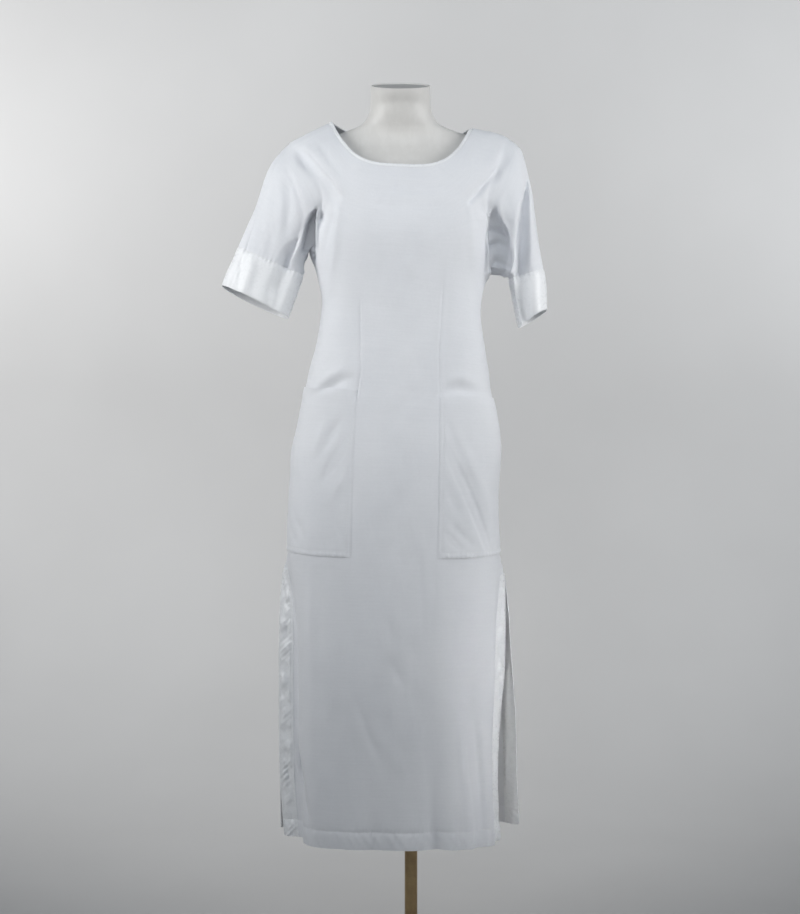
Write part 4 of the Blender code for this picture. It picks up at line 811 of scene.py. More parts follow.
# on the sleeves, seen from the front or from the back
SLEEVE_CREASES = {
    ("front", "left"): [
        ([(-214, 1378, 0, 4), (-206, 1366, 1.0, 4), (-199, 1352, 2.2, 4), (-191, 1330, 3.0, 4.5),
          (-184, 1310, 3.0, 5), (-179, 1290, 1.4, 5), (-177, 1276, 0, 5)], -0.6, 0.2),
        ([(-226, 1362, 0, 6), (-219, 1334, -1.6, 7), (-214, 1300, -2.0, 8), (-216, 1262, 0, 8)],),
        ([(-208, 1362, 0, 7), (-206, 1340, 3.6, 8), (-206, 1305, 3.8, 9), (-207, 1270, 2.6, 9),
          (-210, 1244, 0, 9)],),
        ([(-186, 1258, 0, 5), (-187, 1240, -2.0, 6), (-190, 1220, -2.4, 6), (-196, 1204, 0, 5)],),
        ([(-236, 1268, 0, 6), (-234, 1248, 1.0, 6), (-238, 1226, 0.6, 6), (-242, 1214, 0, 6)],),
        ([(-252, 1300, 0, 5), (-250, 1276, 0.9, 6), (-254, 1250, 0, 6)],),
        # the folded cuff: a dent, a swell and a dent
        ([(-284, 1244, 1.5, 9), (-294, 1212, 8.0, 11), (-306, 1184, 8.0, 12), (-314, 1166, 5.0, 12)],),
        ([(-262, 1226, -1.5, 8), (-266, 1200, -4.5, 9), (-276, 1168, -4.0, 9), (-282, 1150, -2.0, 9)],),
        ([(-206, 1222, 3.0, 8), (-210, 1200, 8.0, 11), (-222, 1166, 8.5, 12), (-228, 1140, 5.0, 11)],),
    ],
    ("front", "right"): [
        ([(184, 1390, 0, 5), (192, 1366, 1.2, 5), (196, 1346, 2.0, 5), (198, 1320, 0, 6)], 0.4),
        ([(152, 1330, 0, 6), (146, 1300, -1.4, 7), (149, 1270, -1.6, 7), (156, 1235, 0, 7)],),
        ([(166, 1350, 0, 7), (160, 1320, 1.4, 8), (158, 1290, 0, 8)],),
        # the inner part of the cuff lies back
        ([(166, 1186, 2.0, 8), (173, 1166, 6.0, 9), (180, 1138, 6.5, 10), (187, 1112, 4.0, 9)],),
        ([(206, 1180, 0, 8), (208, 1152, -1.8, 9), (210, 1120, -1.0, 9)],),
        ([(131, 1250, 0, 4), (136, 1247, 1.6, 4), (143, 1250, 0, 4)],),
        ([(130, 1228, 0, 4), (137, 1222, 2.0, 4), (146, 1224, 0, 4)], 0.4),
        ([(130, 1208, 0, 3.5), (136, 1206, 1.4, 4), (146, 1208, 0, 4)],),
    ],
    ("back", "left"): [
        ([(-214, 1372, 0, 6), (-206, 1346, 2.2, 6), (-198, 1316, 2.6, 7), (-194, 1284, 0, 7)], 0.4),
        ([(-236, 1330, 0, 7), (-232, 1300, -1.6, 8), (-232, 1262, 0, 8)],),
        ([(-216, 1246, 0, 6), (-222, 1228, 2.4, 7), (-232, 1214, 0, 6)],),
        ([(-254, 1276, 0, 6), (-254, 1254, 1.2, 6), (-260, 1236, 0, 6)],),
    ],
    ("back", "right"): [
        ([(176, 1380, 0, 6), (178, 1350, 2.2, 6), (174, 1310, 2.6, 7), (170, 1270, 0, 7)], 0.4),
        ([(196, 1330, 0, 7), (194, 1290, -1.8, 8), (196, 1250, 0, 8)],),
        ([(184, 1250, 0, 6), (182, 1224, 2.0, 7), (186, 1204, 0, 6)],),
        ([(150, 1300, 0, 6), (152, 1262, 1.6, 7), (158, 1226, 0, 7)],),
    ],
}


def seam_dir(a, b, col, nxt):
    """Direction in which panel a leaves panel b at a seam that both have in column col."""
    return unit(unit(a[:, nxt] - a[:, col]) - unit(b[:, nxt] - b[:, col]))


def draw_in(g, lo=None, hi=None, left=None, right=None, d=GAP / 2):
    """Move the border points of a grid inwards by d, along the rows or the columns."""
    src, g = g, g.copy()
    if lo:
        g[0] += unit(src[1] - src[0]) * d
    if hi:
        g[-1] += unit(src[-2] - src[-1]) * d
    if left is not None:
        g[left, 0] += unit(src[left, 1] - src[left, 0]) * d
    if right is not None:
        g[right, -1] += unit(src[right, -2] - src[right, -1]) * d
    return g


# ------------------------------------------------------------------ the fine skin
SR, SC, SS = 8, 6, 8        # rows, columns and sleeve rings of the fine skin per CAD one
THICK = 0.9                 # shown thickness of the cloth
PUCKER = {"side": Wander(11, 15.0), "top": Wander(12, 13.0), "under": Wander(13, 11.0),
          "cuff": Wander(14, 9.0), "hem": Wander(15, 17.0), "hem2": Wander(16, 8.0),
          "dart": Wander(17, 14.0), "band": Wander(18, 10.0), "band2": Wander(19, 6.5),
          "neck": Wander(20, 7.5), "pocket": Wander(21, 9.0), "flutter": Wander(22, 90.0)}
BROAD = {False: Noise(31, 95.0, 26, 2.6), True: Noise(41, 95.0, 26, 2.6)}
MID = {False: Noise(32, 34.0, 30, 1.9), True: Noise(42, 34.0, 30, 1.9)}
SMALL = {False: Noise(33, 13.0, 34, 1.4), True: Noise(43, 13.0, 34, 1.4)}
PATCHY = {False: Noise(34, 160.0, 12, 1.2), True: Noise(44, 160.0, 12, 1.2)}


CRUMPLE = Noise(51, 21.0, 22, 1.5)
BUCKLE = Noise(52, 47.0, 18, 1.6)


def arcs(g, axis):
    """Distance run along the rows (axis 1) or up the columns (axis 0)."""
    d = np.sqrt((np.diff(g, axis=axis) ** 2).sum(axis=-1))
    z = np.zeros((1, g.shape[1]) if axis == 0 else (g.shape[0], 1))
    return np.concatenate([z, np.cumsum(d, axis=axis)], axis=axis)


def cloth_relief(x, z, back):
    """Creases and soft unevenness of a panel, before the seams have their say."""
    tab = BACK_CREASES if back else FRONT_CREASES
    key = "back" if back else "front"
    f = creases(x, z, tab)
    for lr in ("left", "right"):
        f += creases(x, z, SLEEVE_CREASES[key, lr])
    lively = 0.75 + 0.25 * np.clip(PATCHY[back](x, z), -1.5, 1.5)
    low = 1 - step(z, 620, 900)
    f += 0.55 * (0.8 + 0.7 * low) * BROAD[back](x, z)
    f += 0.26 * lively * MID[back](x, z)
    f += 0.07 * lively * SMALL[back](x, z)
    return f


def body_relief(g, named, back):
    x, z = g[..., 0], g[..., 2]
    along, up = arcs(g, 1), arcs(g, 0)
    s0, u = named["slit top"], named["underarm"]
    rows = np.arange(len(g))[:, None]
    f = cloth_relief(x, z, back)
    cols = np.arange(g.shape[1])[None, :]
    # closed side seams, carried round the underarm point
    for dist, end in ((along, 0), (along[:, -1:] - along, -1)):
        above = np.maximum(up[:, end] - up[u, end], 0)[:, None]
        below = np.maximum(up[s0, end] - up[:, end], 0)[:, None]
        d = np.sqrt(dist ** 2 + above ** 2 + below ** 2)
        w = np.exp(-(d / 8.0) ** 2)
        f = f * (1 - w) + w * 0.35 * PUCKER["side"](z)
        f = f + 0.9 * np.exp(-(d / 2.2) ** 2)
    # shoulder seams, and the neck edge
    d = up[-1:, :] - up
    cn = C_NECK * SC
    neck = (cols > cn) & (cols < g.shape[1] - 1 - cn)
    w = np.exp(-(d / 8.0) ** 2)
    f = np.where(neck, f * (1 - 0.94 * w) + 0.10 * np.exp(-(d / 5.0) ** 2) * PUCKER["neck"](along),
                 f * (1 - w) + w * 0.3 * PUCKER["top"](x) + 0.8 * np.exp(-(d / 2.0) ** 2))
    # waist darts: a stitched line between z0 and z1, and the cloth drawn in a little beside it
    if not back:
        for col, z0, z1 in ((C_DART * SC, 984, 1156), (g.shape[1] - 1 - C_DART * SC, 984, 1176)):
            d = along - along[:, col:col + 1]
            on = step(z, z0 - 6, z0 + 4) * (1 - step(z, z1 - 26, z1 + 4))
            f += on * (1.1 * np.exp(-(d / 1.5) ** 2)
                       + 0.9 * np.exp(-(d / 13.0) ** 2)
                       + 0.35 * np.exp(-(d / 7.0) ** 2) * PUCKER["dart"](z + np.abs(d) * 0.6)
                       - 0.5 * np.exp(-((d - 4.5) / 2.6) ** 2))
    # turned-up hem: stitched line, small puckers below it, a slow flutter of the edge
    hs = named["hem stitch"]
    zs = up - up[hs:hs + 1, :]
    free = 1 - step(zs, 0, 3)
    f += 0.75 * np.exp(-(zs / 1.6) ** 2)
    belly = np.sin(np.clip(-zs / HEM_TURN, 0, 1) * math.pi)
    f += free * belly * (0.75 * PUCKER["hem"](along + 0.6 * zs) + 0.35 * PUCKER["hem2"](along - 0.4 * zs) - 0.6)
    f += 0.5 * np.exp(-(zs / 7.0) ** 2) * PUCKER["hem2"](along)
    f += 0.35 * np.exp(-((zs - 9.0) / 16.0) ** 2) * PUCKER["hem"](1.3 * along - 0.5 * zs)
    f += np.exp(-((zs + HEM_TURN) / 60.0) ** 2) * 1.2 * PUCKER["flutter"](along)
    return f


def sleeve_relief(g, side, back, first):
    """Relief of half a sleeve; first is the body's relief up the armhole."""
    x, z = g[..., 0], g[..., 2]
    ns = N_SLEEVE * SS
    around, down = arcs(g, 1), arcs(g, 0)
    f = cloth_relief(x, z, back)
    for d, name, depth in ((around, "side", 0.9), (around[:, -1:] - around, "top", 0.8)):
        w = np.exp(-(d / 8.0) ** 2)
        near = "side" if name == "side" else "top"
        f = f * (1 - w) + w * 0.35 * PUCKER[near](z if near == "side" else x)
        f = f + depth * np.exp(-(d / 2.1) ** 2)
    # the cuff seam gathers the sleeve a little
    d = np.abs(down - down[ns:ns + 1])
    f += 0.5 * np.exp(-(d / 8.0) ** 2) * PUCKER["cuff"](around + 40 * side)
    f += 0.6 * np.exp(-(d / 2.5) ** 2)
    # ease into the body's own relief at the armhole
    k = np.exp(-(down / 10.0) ** 2)
    return f * (1 - k) + (first[None, :]) * k


def beside(x, z, pts):
    """Signed distance from a line, + on the right going along it, and its other columns there."""
    p = np.array(pts, float)
    best = np.full(np.shape(x), 1e9)
    sgn = np.zeros(np.shape(x))
    cols = [np.zeros(np.shape(x)) for _ in range(p.shape[1] - 2)]
    for k in range(len(p) - 1):
        dx, dz = p[k + 1, :2] - p[k, :2]
        L = math.hypot(dx, dz)
        dx, dz = dx / L, dz / L
        t = np.clip(((x - p[k, 0]) * dx + (z - p[k, 1]) * dz) / L, 0, 1)
        cx, cz = x - (p[k, 0] + t * L * dx), z - (p[k, 1] + t * L * dz)
        d = np.hypot(cx, cz)
        m = d < best
        best = np.where(m, d, best)
        sgn = np.where(m, np.where(cx * dz - cz * dx >= 0, 1.0, -1.0), sgn)
        for c in range(len(cols)):
            cols[c] = np.where(m, p[k, 2 + c] + (p[k + 1, 2 + c] - p[k, 2 + c]) * t, cols[c])
    return [best * sgn] + cols


# the inner edge of each front half sleeve, where its roll ends over the hollow beside the body
ARCH = {-1: [(-140, 1307), (-149, 1304), (-158, 1300), (-167, 1293), (-173, 1283), (-178, 1269),
             (-182, 1251), (-185.5, 1234), (-190, 1213), (-192, 1196), (-193, 1180)],
        1: [(139, 1318), (144.5, 1301), (149, 1288), (156, 1275), (162, 1266), (165.5, 1254), (167, 1240),
            (169, 1226), (169.5, 1210), (166, 1192), (164, 1176)]}
# the edge of the body beside the same hollow
FLANK = {-1: [(-154, 1312), (-156, 1300), (-158.5, 1285), (-159, 1262), (-159, 1240), (-159.5, 1222),
              (-160, 1200)],
         1: [(140, 1310), (133, 1297), (128, 1283), (127, 1262), (128, 1250), (130, 1236), (131, 1222),
             (129, 1204), (128, 1184)]}
# the doubled fold down the right sleeve: x, z, depth behind the edge, its reach, lip
OVERLAP = [(195.5, 1362, 0.0, 2.5, 0.0), (194.0, 1355, 6.0, 4.5, 1.0), (191, 1342, 11.0, 8.0, 2.0),
           (187, 1325, 14.0, 13.0, 3.0), (181, 1305, 15.0, 19.0, 4.0), (175, 1276, 16.0, 27.0, 5.0),
           (172.5, 1252, 16.0, 29.0, 5.0), (171.5, 1232, 15.0, 30.0, 5.0), (170, 1212, 13.0, 29.0, 4.0),
           (165, 1196, 8.0, 25.0, 2.0), (160, 1180, 0.0, 20.0, 0.0)]
# at the lower left the front's edge curls and stands over the panel
CURL = [(-196, 486, 0.0, 10, 0.0), (-193, 462, 1.2, 14, 1.2), (-189, 420, 2.2, 18, 2.6),
        (-184, 360, 2.6, 22, 3.2), (-177, 312, 2.2, 20, 3.0), (-169, 274, 1.4, 18, 2.0),
        (-165, 250, 0.7, 16, 1.0), (-163, 238, 0.4, 16, 0.4)]
# the flap above the left cuff and the thumb-shaped hollow beside it
THUMB = [(-184, 1252, 0.0, 4, 0), (-187, 1246, 5.0, 9, 1.0), (-189.5, 1238, 9.0, 17, 2.0),
         (-194, 1226, 11.0, 22, 3.0), (-199.5, 1213, 11.0, 24, 3.0), (-201, 1204, 7.0, 22, 1.5),
         (-200, 1197, 2.0, 18, 0)]


def sculpt(g, seam):
    """Hollows and overlapping folds of the front; seam is the distance from a closed seam."""
    g = g.copy()
    x, z = g[..., 0].copy(), g[..., 2].copy()
    free = step(seam, 1.5, 10.0)
    # the roll of the right sleeve moves out over its hollow, the left flank away from its own
    for tab, wid in ((RIGHT_PULL, 15.0), (LEFT_PULL, 10.0)):
        at = look(tab, "at", z)
        x = x + look(tab, "amount", z) * free * np.exp(-((x - at) / np.where(x < at, wid, 0.87 * wid)) ** 2)
    y = g[..., 1].copy()
    for side in (-1, 1):
        a = beside(x, z, ARCH[side])[0]
        b = beside(x, z, FLANK[side])[0]
        a, b = (-a, b) if side < 0 else (a, -b)
        if side < 0:
            here = step(z, 1221, 1236) * (1 - step(z, 1294, 1303)) * (x < -120) * (x > -225)
            floor = -25.0 - 12.0 * step(z, 1262, 1300)
            plate = look(PLATE, "left", z)
            flank = look(PLATE, "flank_l", z)
        else:
            here = step(z, 1184, 1198) * (1 - step(z, 1290, 1304)) * (x > 90) * (x < 190)
            floor = -37.0 - 10.0 * step(z, 1262, 1298) + creases(x, z, HOLLOW_CREASES)
            plate = look(PLATE, "right", z)
            flank = look(PLATE, "flank_r", z)
        here = here * free
        # both brinks stand level up to the edge
        m = step(a, -13.0, -3.0) * (1 - step(a, 0.4, 1.4)) * step(b, -3, 1) * here
        y = y + (np.minimum(plate, y) - y) * m
        m = step(b, -11.0, -3.0) * (1 - step(b, 0.2, 1.2)) * step(a, -3, 1) * here
        y = y + (np.minimum(flank, y) - y) * m
        # the floor, and nothing deeper beside it
        m = step(a, -4.0, -1.0) * step(b, -4.0, -1.0) * here
        y = y + (np.minimum(y, floor) - y) * m
        m = step(a, 0.0, 3.4) * step(b, 0.0, 3.4) * here
        y = y + (floor - y) * m
        # the sleeve's brink is a tight roll that hangs over a little
        lip = np.exp(-((a + 1.6) / 2.6) ** 2) * step(b, 0.0, 5.0) * here
        y = y - 2.2 * lip
        x = x - side * 1.6 * lip * (1.0 if side > 0 else 0.7)
    for tab, hand, (xa, xb, za, zb), near in ((CURL, -1, (-215, -120, 240, 500), 1.0),
                                              (OVERLAP, -1, (120, 240, 1176, 1368), 4.0),
                                              (THUMB, 1, (-240, -170, 1196, 1256), 8.0)):
        d, depth, reach, lip = beside(x, z, tab)
        d = d * hand
        here = (x > xa) & (x < xb) & (z > za) & (z < zb)
        k = step(seam, 0.5, near)
        rest = np.clip(1 - d / reach, 0, 1)
        trough = depth * step(d, -0.5, 2.4) * (0.5 * rest + 0.5 * (1 - step(d, 0.1 * reach, reach)))
        rise = lip * np.exp(-((d + 2.2) / (4.5 if tab is not CURL else 7.0)) ** 2)
        y = y + np.where(here, (trough - rise) * k, 0.0)
        hang = 0.45 if tab is not CURL else 0.0
        x = x - hand * np.where(here, hang * lip * np.exp(-((d + 1.5) / 3.0) ** 2) * k, 0.0)
    g[..., 0], g[..., 1] = x, y
    return g


PLATE = table("z left right flank_l flank_r", (1184, -53, -50, -55, -40), (1205, -54, -53, -57, -44),
              (1220, -56, -56, -59, -48), (1236, -57, -58, -62, -50), (1250, -59, -58, -63, -51),
              (1265, -60, -57, -63, -52), (1280, -63, -56, -64, -56), (1296, -66, -57, -67, -60))
RIGHT_PULL = table("z at amount", (1180, 154, 0), (1192, 154, 6), (1205, 155, 9), (1220, 158, 8),
                   (1236, 156, 11), (1250, 150, 14), (1265, 143, 13), (1280, 134, 8), (1296, 130, 0),
                   (1320, 130, 0))
LEFT_PULL = table("z at amount", (1205, -168, 0), (1222, -168, 3), (1236, -169, 8), (1250, -168, 8),
                  (1262, -164, 3), (1272, -160, 0), (1300, -157, 0))
HOLLOW_CREASES = [
    ([(128, 1265, 1.0, 3), (137, 1269, 5.0, 4), (149, 1266, 5.4, 4), (160, 1257, 3.4, 4)], 0.6, 0.2),
    ([(129, 1238, 3.0, 3.5), (136, 1243, 6.0, 4), (146, 1245, 5.0, 4.5), (158, 1238, 2.0, 4)], 0.6, 0.2),
    ([(131, 1226, 0, 4), (142, 1229, -2.0, 5), (154, 1224, -1.4, 5), (164, 1222, 0, 4)],),
    ([(134, 1206, 3.0, 4), (141, 1213, 3.6, 4.5), (152, 1210, 3.2, 4), (163, 1203, 2.0, 4)], 0.5, 0.2),
    ([(131, 1192, 0, 4), (134, 1204, 3.0, 4), (138, 1216, 1.6, 4), (146, 1222, 0, 4)],),
    ([(133, 1284, 0, 4), (142, 1287, 1.4, 4), (150, 1280, 0, 4)],),
]


def fix_folds(grids, n):
    """At a sharply folded sleeve seam the wall goes inwards between the two halves."""
    for lr in ("left", "right"):
        f, b = "front_sleeve_" + lr, "back_sleeve_" + lr
        for q, nxt in ((0, 2), (-1, -3)):
            p = grids[f][:, q]
            inward = unit(grids[f][:, nxt] - p) + unit(grids[b][:, nxt] - p)
            inward = 1.5 * inward - n[f][:, q]
            along = unit(np.gradient(p, axis=0))
            inward = unit(inward - along * (inward * along).sum(axis=1)[:, None])
            n[f][1:, q] = n[b][1:, q] = -inward[1:]
    return n


def fine_skin():
    skin, n, named = build_skin(SR, SC, SS)
    u, s0 = named["underarm"], named["slit top"]
    base = {k: v.copy() for k, v in skin.grids.items()}
    for tag, back in (("front", False), ("back", True)):
        f = body_relief(base[tag], named, back)
        skin.grids[tag] = base[tag] - n[tag] * f[..., None]
        for side, lr, col in ((-1, "left", 0), (1, "right", -1)):
            nm = tag + "_sleeve_" + lr
            r = sleeve_relief(base[nm], side, back, f[u:, col])
            skin.grids[nm] = base[nm] - n[nm] * r[..., None]
    # the front's hollows and overlaps
    g = skin.grids["front"]
    along, up = arcs(base["front"], 1), arcs(base["front"], 0)
    seam = np.full(g.shape[:2], 1e9)
    for dist, end in ((along, 0), (along[:, -1:] - along, -1)):
        above = np.maximum(up[:, end] - up[u, end], 0)[:, None]
        below = np.maximum(up[s0, end] - up[:, end], 0)[:, None]
        seam = np.minimum(seam, np.sqrt(dist ** 2 + above ** 2 + below ** 2))
    lift = up[-1:, :] - up
    skin.grids["front"] = sculpt(g, np.minimum(seam, lift))
    for lr in ("left", "right"):
        nm = "front_sleeve_" + lr
        around = arcs(base[nm], 1)
        skin.grids[nm] = sculpt(skin.grids[nm], np.minimum(around, around[:, -1:] - around))
    # shared lines stay shared
    f, b = skin.grids["front"], skin.grids["back"]
    for col in (0, -1):
        m = 0.5 * (f[s0:u + 1, col] + b[s0:u + 1, col])
        f[s0:u + 1, col] = b[s0:u + 1, col] = m
    cn = C_NECK * SC
    for sl in (slice(0, cn + 1), slice(COLS * SC - cn, None)):
        m = 0.5 * (f[-1, sl] + b[-1, sl])
        f[-1, sl] = b[-1, sl] = m
    for lr, col in (("left", 0), ("right", -1)):
        sf, sb = skin.grids["front_sleeve_" + lr], skin.grids["back_sleeve_" + lr]
        sf[0], sb[0] = f[u:, col], b[u:, col]
        for q in (0, -1):
            m = 0.5 * (sf[:, q] + sb[:, q])
            sf[:, q] = sb[:, q] = m
    return skin, fix_folds(skin.grids, skin.normals()), named


def refine(g, fr, fc):
    """Smooth in-between points: fr and fc steps per row and per column."""
    def one(a, f):
        if f == 1:
            return a
        p = np.concatenate([[2 * a[0] - a[1]], a, [2 * a[-1] - a[-2]]])
        p0, p1, p2, p3 = p[:-3], p[1:-2], p[2:-1], p[3:]
        out = np.zeros((f * (len(a) - 1) + 1,) + a.shape[1:])
        for k in range(f):
            t = k / f
            out[k:-1:f] = 0.5 * (2 * p1 + (p2 - p0) * t + (2 * p0 - 5 * p1 + 4 * p2 - p3) * t * t
                                 + (3 * p1 - p0 - 3 * p2 + p3) * t ** 3)
        out[-1] = a[-1]
        return out
    g = one(g, fr)
    return one(g.swapaxes(0, 1), fc).swapaxes(0, 1)


# ------------------------------------------------------------------ meshes
def uv_of(g, mid=None):
    """Metres along the rows, from the middle column, and up the columns."""
    mid = g.shape[1] // 2 if mid is None else mid
    a, b = arcs(g, 1), arcs(g, 0)
    u = (a - a[:, mid:mid + 1]) * MM
    v = np.repeat((b[:, mid:mid + 1] + g[0, mid, 2]) * MM, g.shape[1], axis=1)
    return np.stack([u, v], axis=-1)


def make_mesh(name, verts, faces, uvs, mat, smooth=True, angle=60.0):
    me = bpy.data.meshes.new(name)
    me.from_pydata([tuple(v) for v in np.asarray(verts) * MM], [], [tuple(f) for f in faces])
    if uvs is not None:
        layer = me.uv_layers.new(name="cloth")
        layer.data.foreach_set("uv", np.asarray(uvs, np.float32).reshape(-1))
    me.materials.append(mat)
    if smooth:
        me.shade_smooth()
        me.set_sharp_from_angle(angle=math.radians(angle))
    me.validate()
    ob = bpy.data.objects.new(name, me)
    bpy.context.scene.collection.objects.link(ob)
    return ob


def shell(name, patches, mat, angle=60.0):
    """A closed thin wall from patches of (outer, inner, uv, flip, keep) grids that share points."""
    P, Q, F, U = [], [], [], []
    base = 0
    for outer, inner, uv, flip, keep in patches:
        ni, nj = outer.shape[:2]
        idx = base + np.arange(ni * nj).reshape(ni, nj)
        quads = np.stack([idx[:-1, :-1], idx[:-1, 1:], idx[1:, 1:], idx[1:, :-1]], axis=-1)
        if keep is not None:
            quads = quads[keep]
        quads = quads.reshape(-1, 4)
        if flip:
            quads = quads[:, ::-1]
        P.append(outer.reshape(-1, 3))
        Q.append(inner.reshape(-1, 3))
        U.append(uv.reshape(-1, 2))
        F.append(quads)
        base += ni * nj
    P, Q, U, F = np.concatenate(P), np.concatenate(Q), np.concatenate(U), np.concatenate(F)
    key = np.round(P * 200).astype(np.int64)
    _, first, inv = np.unique(key, axis=0, return_index=True, return_inverse=True)
    inv = inv.reshape(-1)
    used = np.unique(inv[F.reshape(-1)])
    slot_of = -np.ones(len(first), np.int64)
    slot_of[used] = np.arange(len(used))
    V, W = P[first[used]], Q[first[used]]
    G = slot_of[inv[F]]
    good = np.array([len(set(q)) == 4 for q in G])
    uvq = U[F][good]
    G = G[good]
    n = len(V)
    # border edges, in the direction of their face
    a, b = G.reshape(-1), np.roll(G, -1, axis=1).reshape(-1)
    ua, ub = uvq.reshape(-1, 2), np.roll(uvq, -1, axis=1).reshape(-1, 2)
    code, back_code = a * (n + 1) + b, b * (n + 1) + a
    edge = ~np.isin(code, back_code)
    ea, eb = a[edge], b[edge]
    rim = np.stack([eb, ea, ea + n, eb + n], axis=1)
    rim_uv = np.stack([ub[edge], ua[edge], ua[edge], ub[edge]], axis=1)
    faces = np.concatenate([G, G[:, ::-1] + n, rim])
    uvs = np.concatenate([uvq, uvq[:, ::-1], rim_uv])
    return make_mesh(name, np.concatenate([V, W]), faces, uvs, mat, True, angle)


def stitches(name, lines, mat, pitch=3.2, length=2.3, wide=0.55, high=0.4, off=0.12):
    """Small thread bars along lines of (points, normals)."""
    verts, faces = [], []
    cross = [(-1, 0), (-0.6, 1), (0.6, 1), (1, 0), (0, -0.6)]
    for pts, nrm in lines:
        seg = np.sqrt((np.diff(pts, axis=0) ** 2).sum(axis=1))
        s = np.concatenate([[0], np.cumsum(seg)])
        if s[-1] < pitch:
            continue
        for at in np.arange(pitch * 0.5, s[-1] - pitch * 0.5, pitch):
            def where(v):
                return np.array([np.interp(v, s, pts[:, k]) for k in range(3)])
            a, b = where(at - length / 2), where(at + length / 2)
            n = np.array([np.interp(at, s, nrm[:, k]) for k in range(3)])
            t = b - a
            t /= max(np.sqrt((t ** 2).sum()), 1e-6)
            n -= t * (n @ t)
            n /= max(np.sqrt((n ** 2).sum()), 1e-6)
            w = np.cross(t, n)
            k0 = len(verts)
            for end, sc in ((a, 0.55), (0.5 * (a + b) + n * 0.1, 1.0), (b, 0.55)):
                for cx, cy in cross:
                    verts.append(end + n * off + w * cx * wide / 2 * sc + n * cy * high / 2 * sc)
            m = len(cross)
            for r in range(2):
                for k in range(m):
                    k2 = (k + 1) % m
                    faces.append((k0 + r * m + k, k0 + r * m + k2,
                                  k0 + (r + 1) * m + k2, k0 + (r + 1) * m + k))
            faces.append(tuple(k0 + k for k in reversed(range(m))))
            faces.append(tuple(k0 + 2 * m + k for k in range(m)))
    return make_mesh(name, np.array(verts), faces, None, mat, True, 50.0)


# ------------------------------------------------------------------ materials
class Nodes:
    """Short hand for a node tree."""

    def __init__(self, name):
        self.mat = bpy.data.materials.new(name)
        self.mat.use_nodes = True
        self.t = self.mat.node_tree
        self.p = self.t.nodes["Principled BSDF"]

    def add(self, kind, **props):
        n = self.t.nodes.new(kind)
        for k, v in props.items():
            setattr(n, k, v)
        return n

    def link(self, a, b):
        self.t.links.new(a, b)

    def noise(self, vec, scale, detail=3.0, rough=0.5):
        n = self.add("ShaderNodeTexNoise")
        n.inputs["Scale"].default_value = scale
        n.inputs["Detail"].default_value = detail
        n.inputs["Roughness"].default_value = rough
        self.link(vec, n.inputs["Vector"])
        return n.outputs["Fac"]

    def wave(self, vec, scale, direction="X", distortion=0.0, detail_scale=1.0):
        n = self.add("ShaderNodeTexWave", wave_type="BANDS", bands_direction=direction)
        n.inputs["Scale"].default_value = scale
        n.inputs["Distortion"].default_value = distortion
        n.inputs["Detail Scale"].default_value = detail_scale
        self.link(vec, n.inputs["Vector"])
        return n.outputs["Fac"]

    def mapping(self, vec, scale=(1, 1, 1), rot=(0, 0, 0)):
        n = self.add("ShaderNodeMapping")
        n.inputs["Scale"].default_value = scale
        n.inputs["Rotation"].default_value = rot
        self.link(vec, n.inputs["Vector"])
        return n.outputs["Vector"]

    def ramp(self, fac, *stops):
        n = self.add("ShaderNodeValToRGB")
        e = n.color_ramp.elements
        while len(e) < len(stops):
            e.new(0.5)
        for el, (pos, col) in zip(e, stops):
            el.position = pos
            el.color = (*col, 1)
        self.link(fac, n.inputs["Fac"])
        return n.outputs["Color"]

    def mix(self, fac, a, b, blend="MIX"):
        n = self.add("ShaderNodeMix", data_type="RGBA", blend_type=blend)
        for sock, v in ((n.inputs["Factor"], fac), (n.inputs["A"], a), (n.inputs["B"], b)):
            if isinstance(v, (int, float)):
                sock.default_value = v
            elif isinstance(v, tuple):
                sock.default_value = (*v, 1)
            else:
                self.link(v, sock)
        return [o for o in n.outputs if o.type == "RGBA"][0]

    def math(self, op, a, b=0.0):
        n = self.add("ShaderNodeMath", operation=op)
        for k, v in enumerate((a, b)):
            if isinstance(v, (int, float)):
                n.inputs[k].default_value = v
            else:
                self.link(v, n.inputs[k])
        return n.outputs["Value"]

    def rough(self, fac, lo, hi):
        n = self.add("ShaderNodeMapRange")
        n.inputs["To Min"].default_value = lo
        n.inputs["To Max"].default_value = hi
        self.link(fac, n.inputs["Value"])
        self.link(n.outputs["Result"], self.p.inputs["Roughness"])

    def bump(self, height, strength, distance, chain=None):
        n = self.add("ShaderNodeBump")
        n.inputs["Strength"].default_value = strength
        n.inputs["Distance"].default_value = distance
        self.link(height, n.inputs["Height"])
        if chain is not None:
            self.link(chain, n.inputs["Normal"])
        return n.outputs["Normal"]

    def set(self, **kw):
        for k, v in kw.items():
            self.p.inputs[k.replace("_", " ")].default_value = v


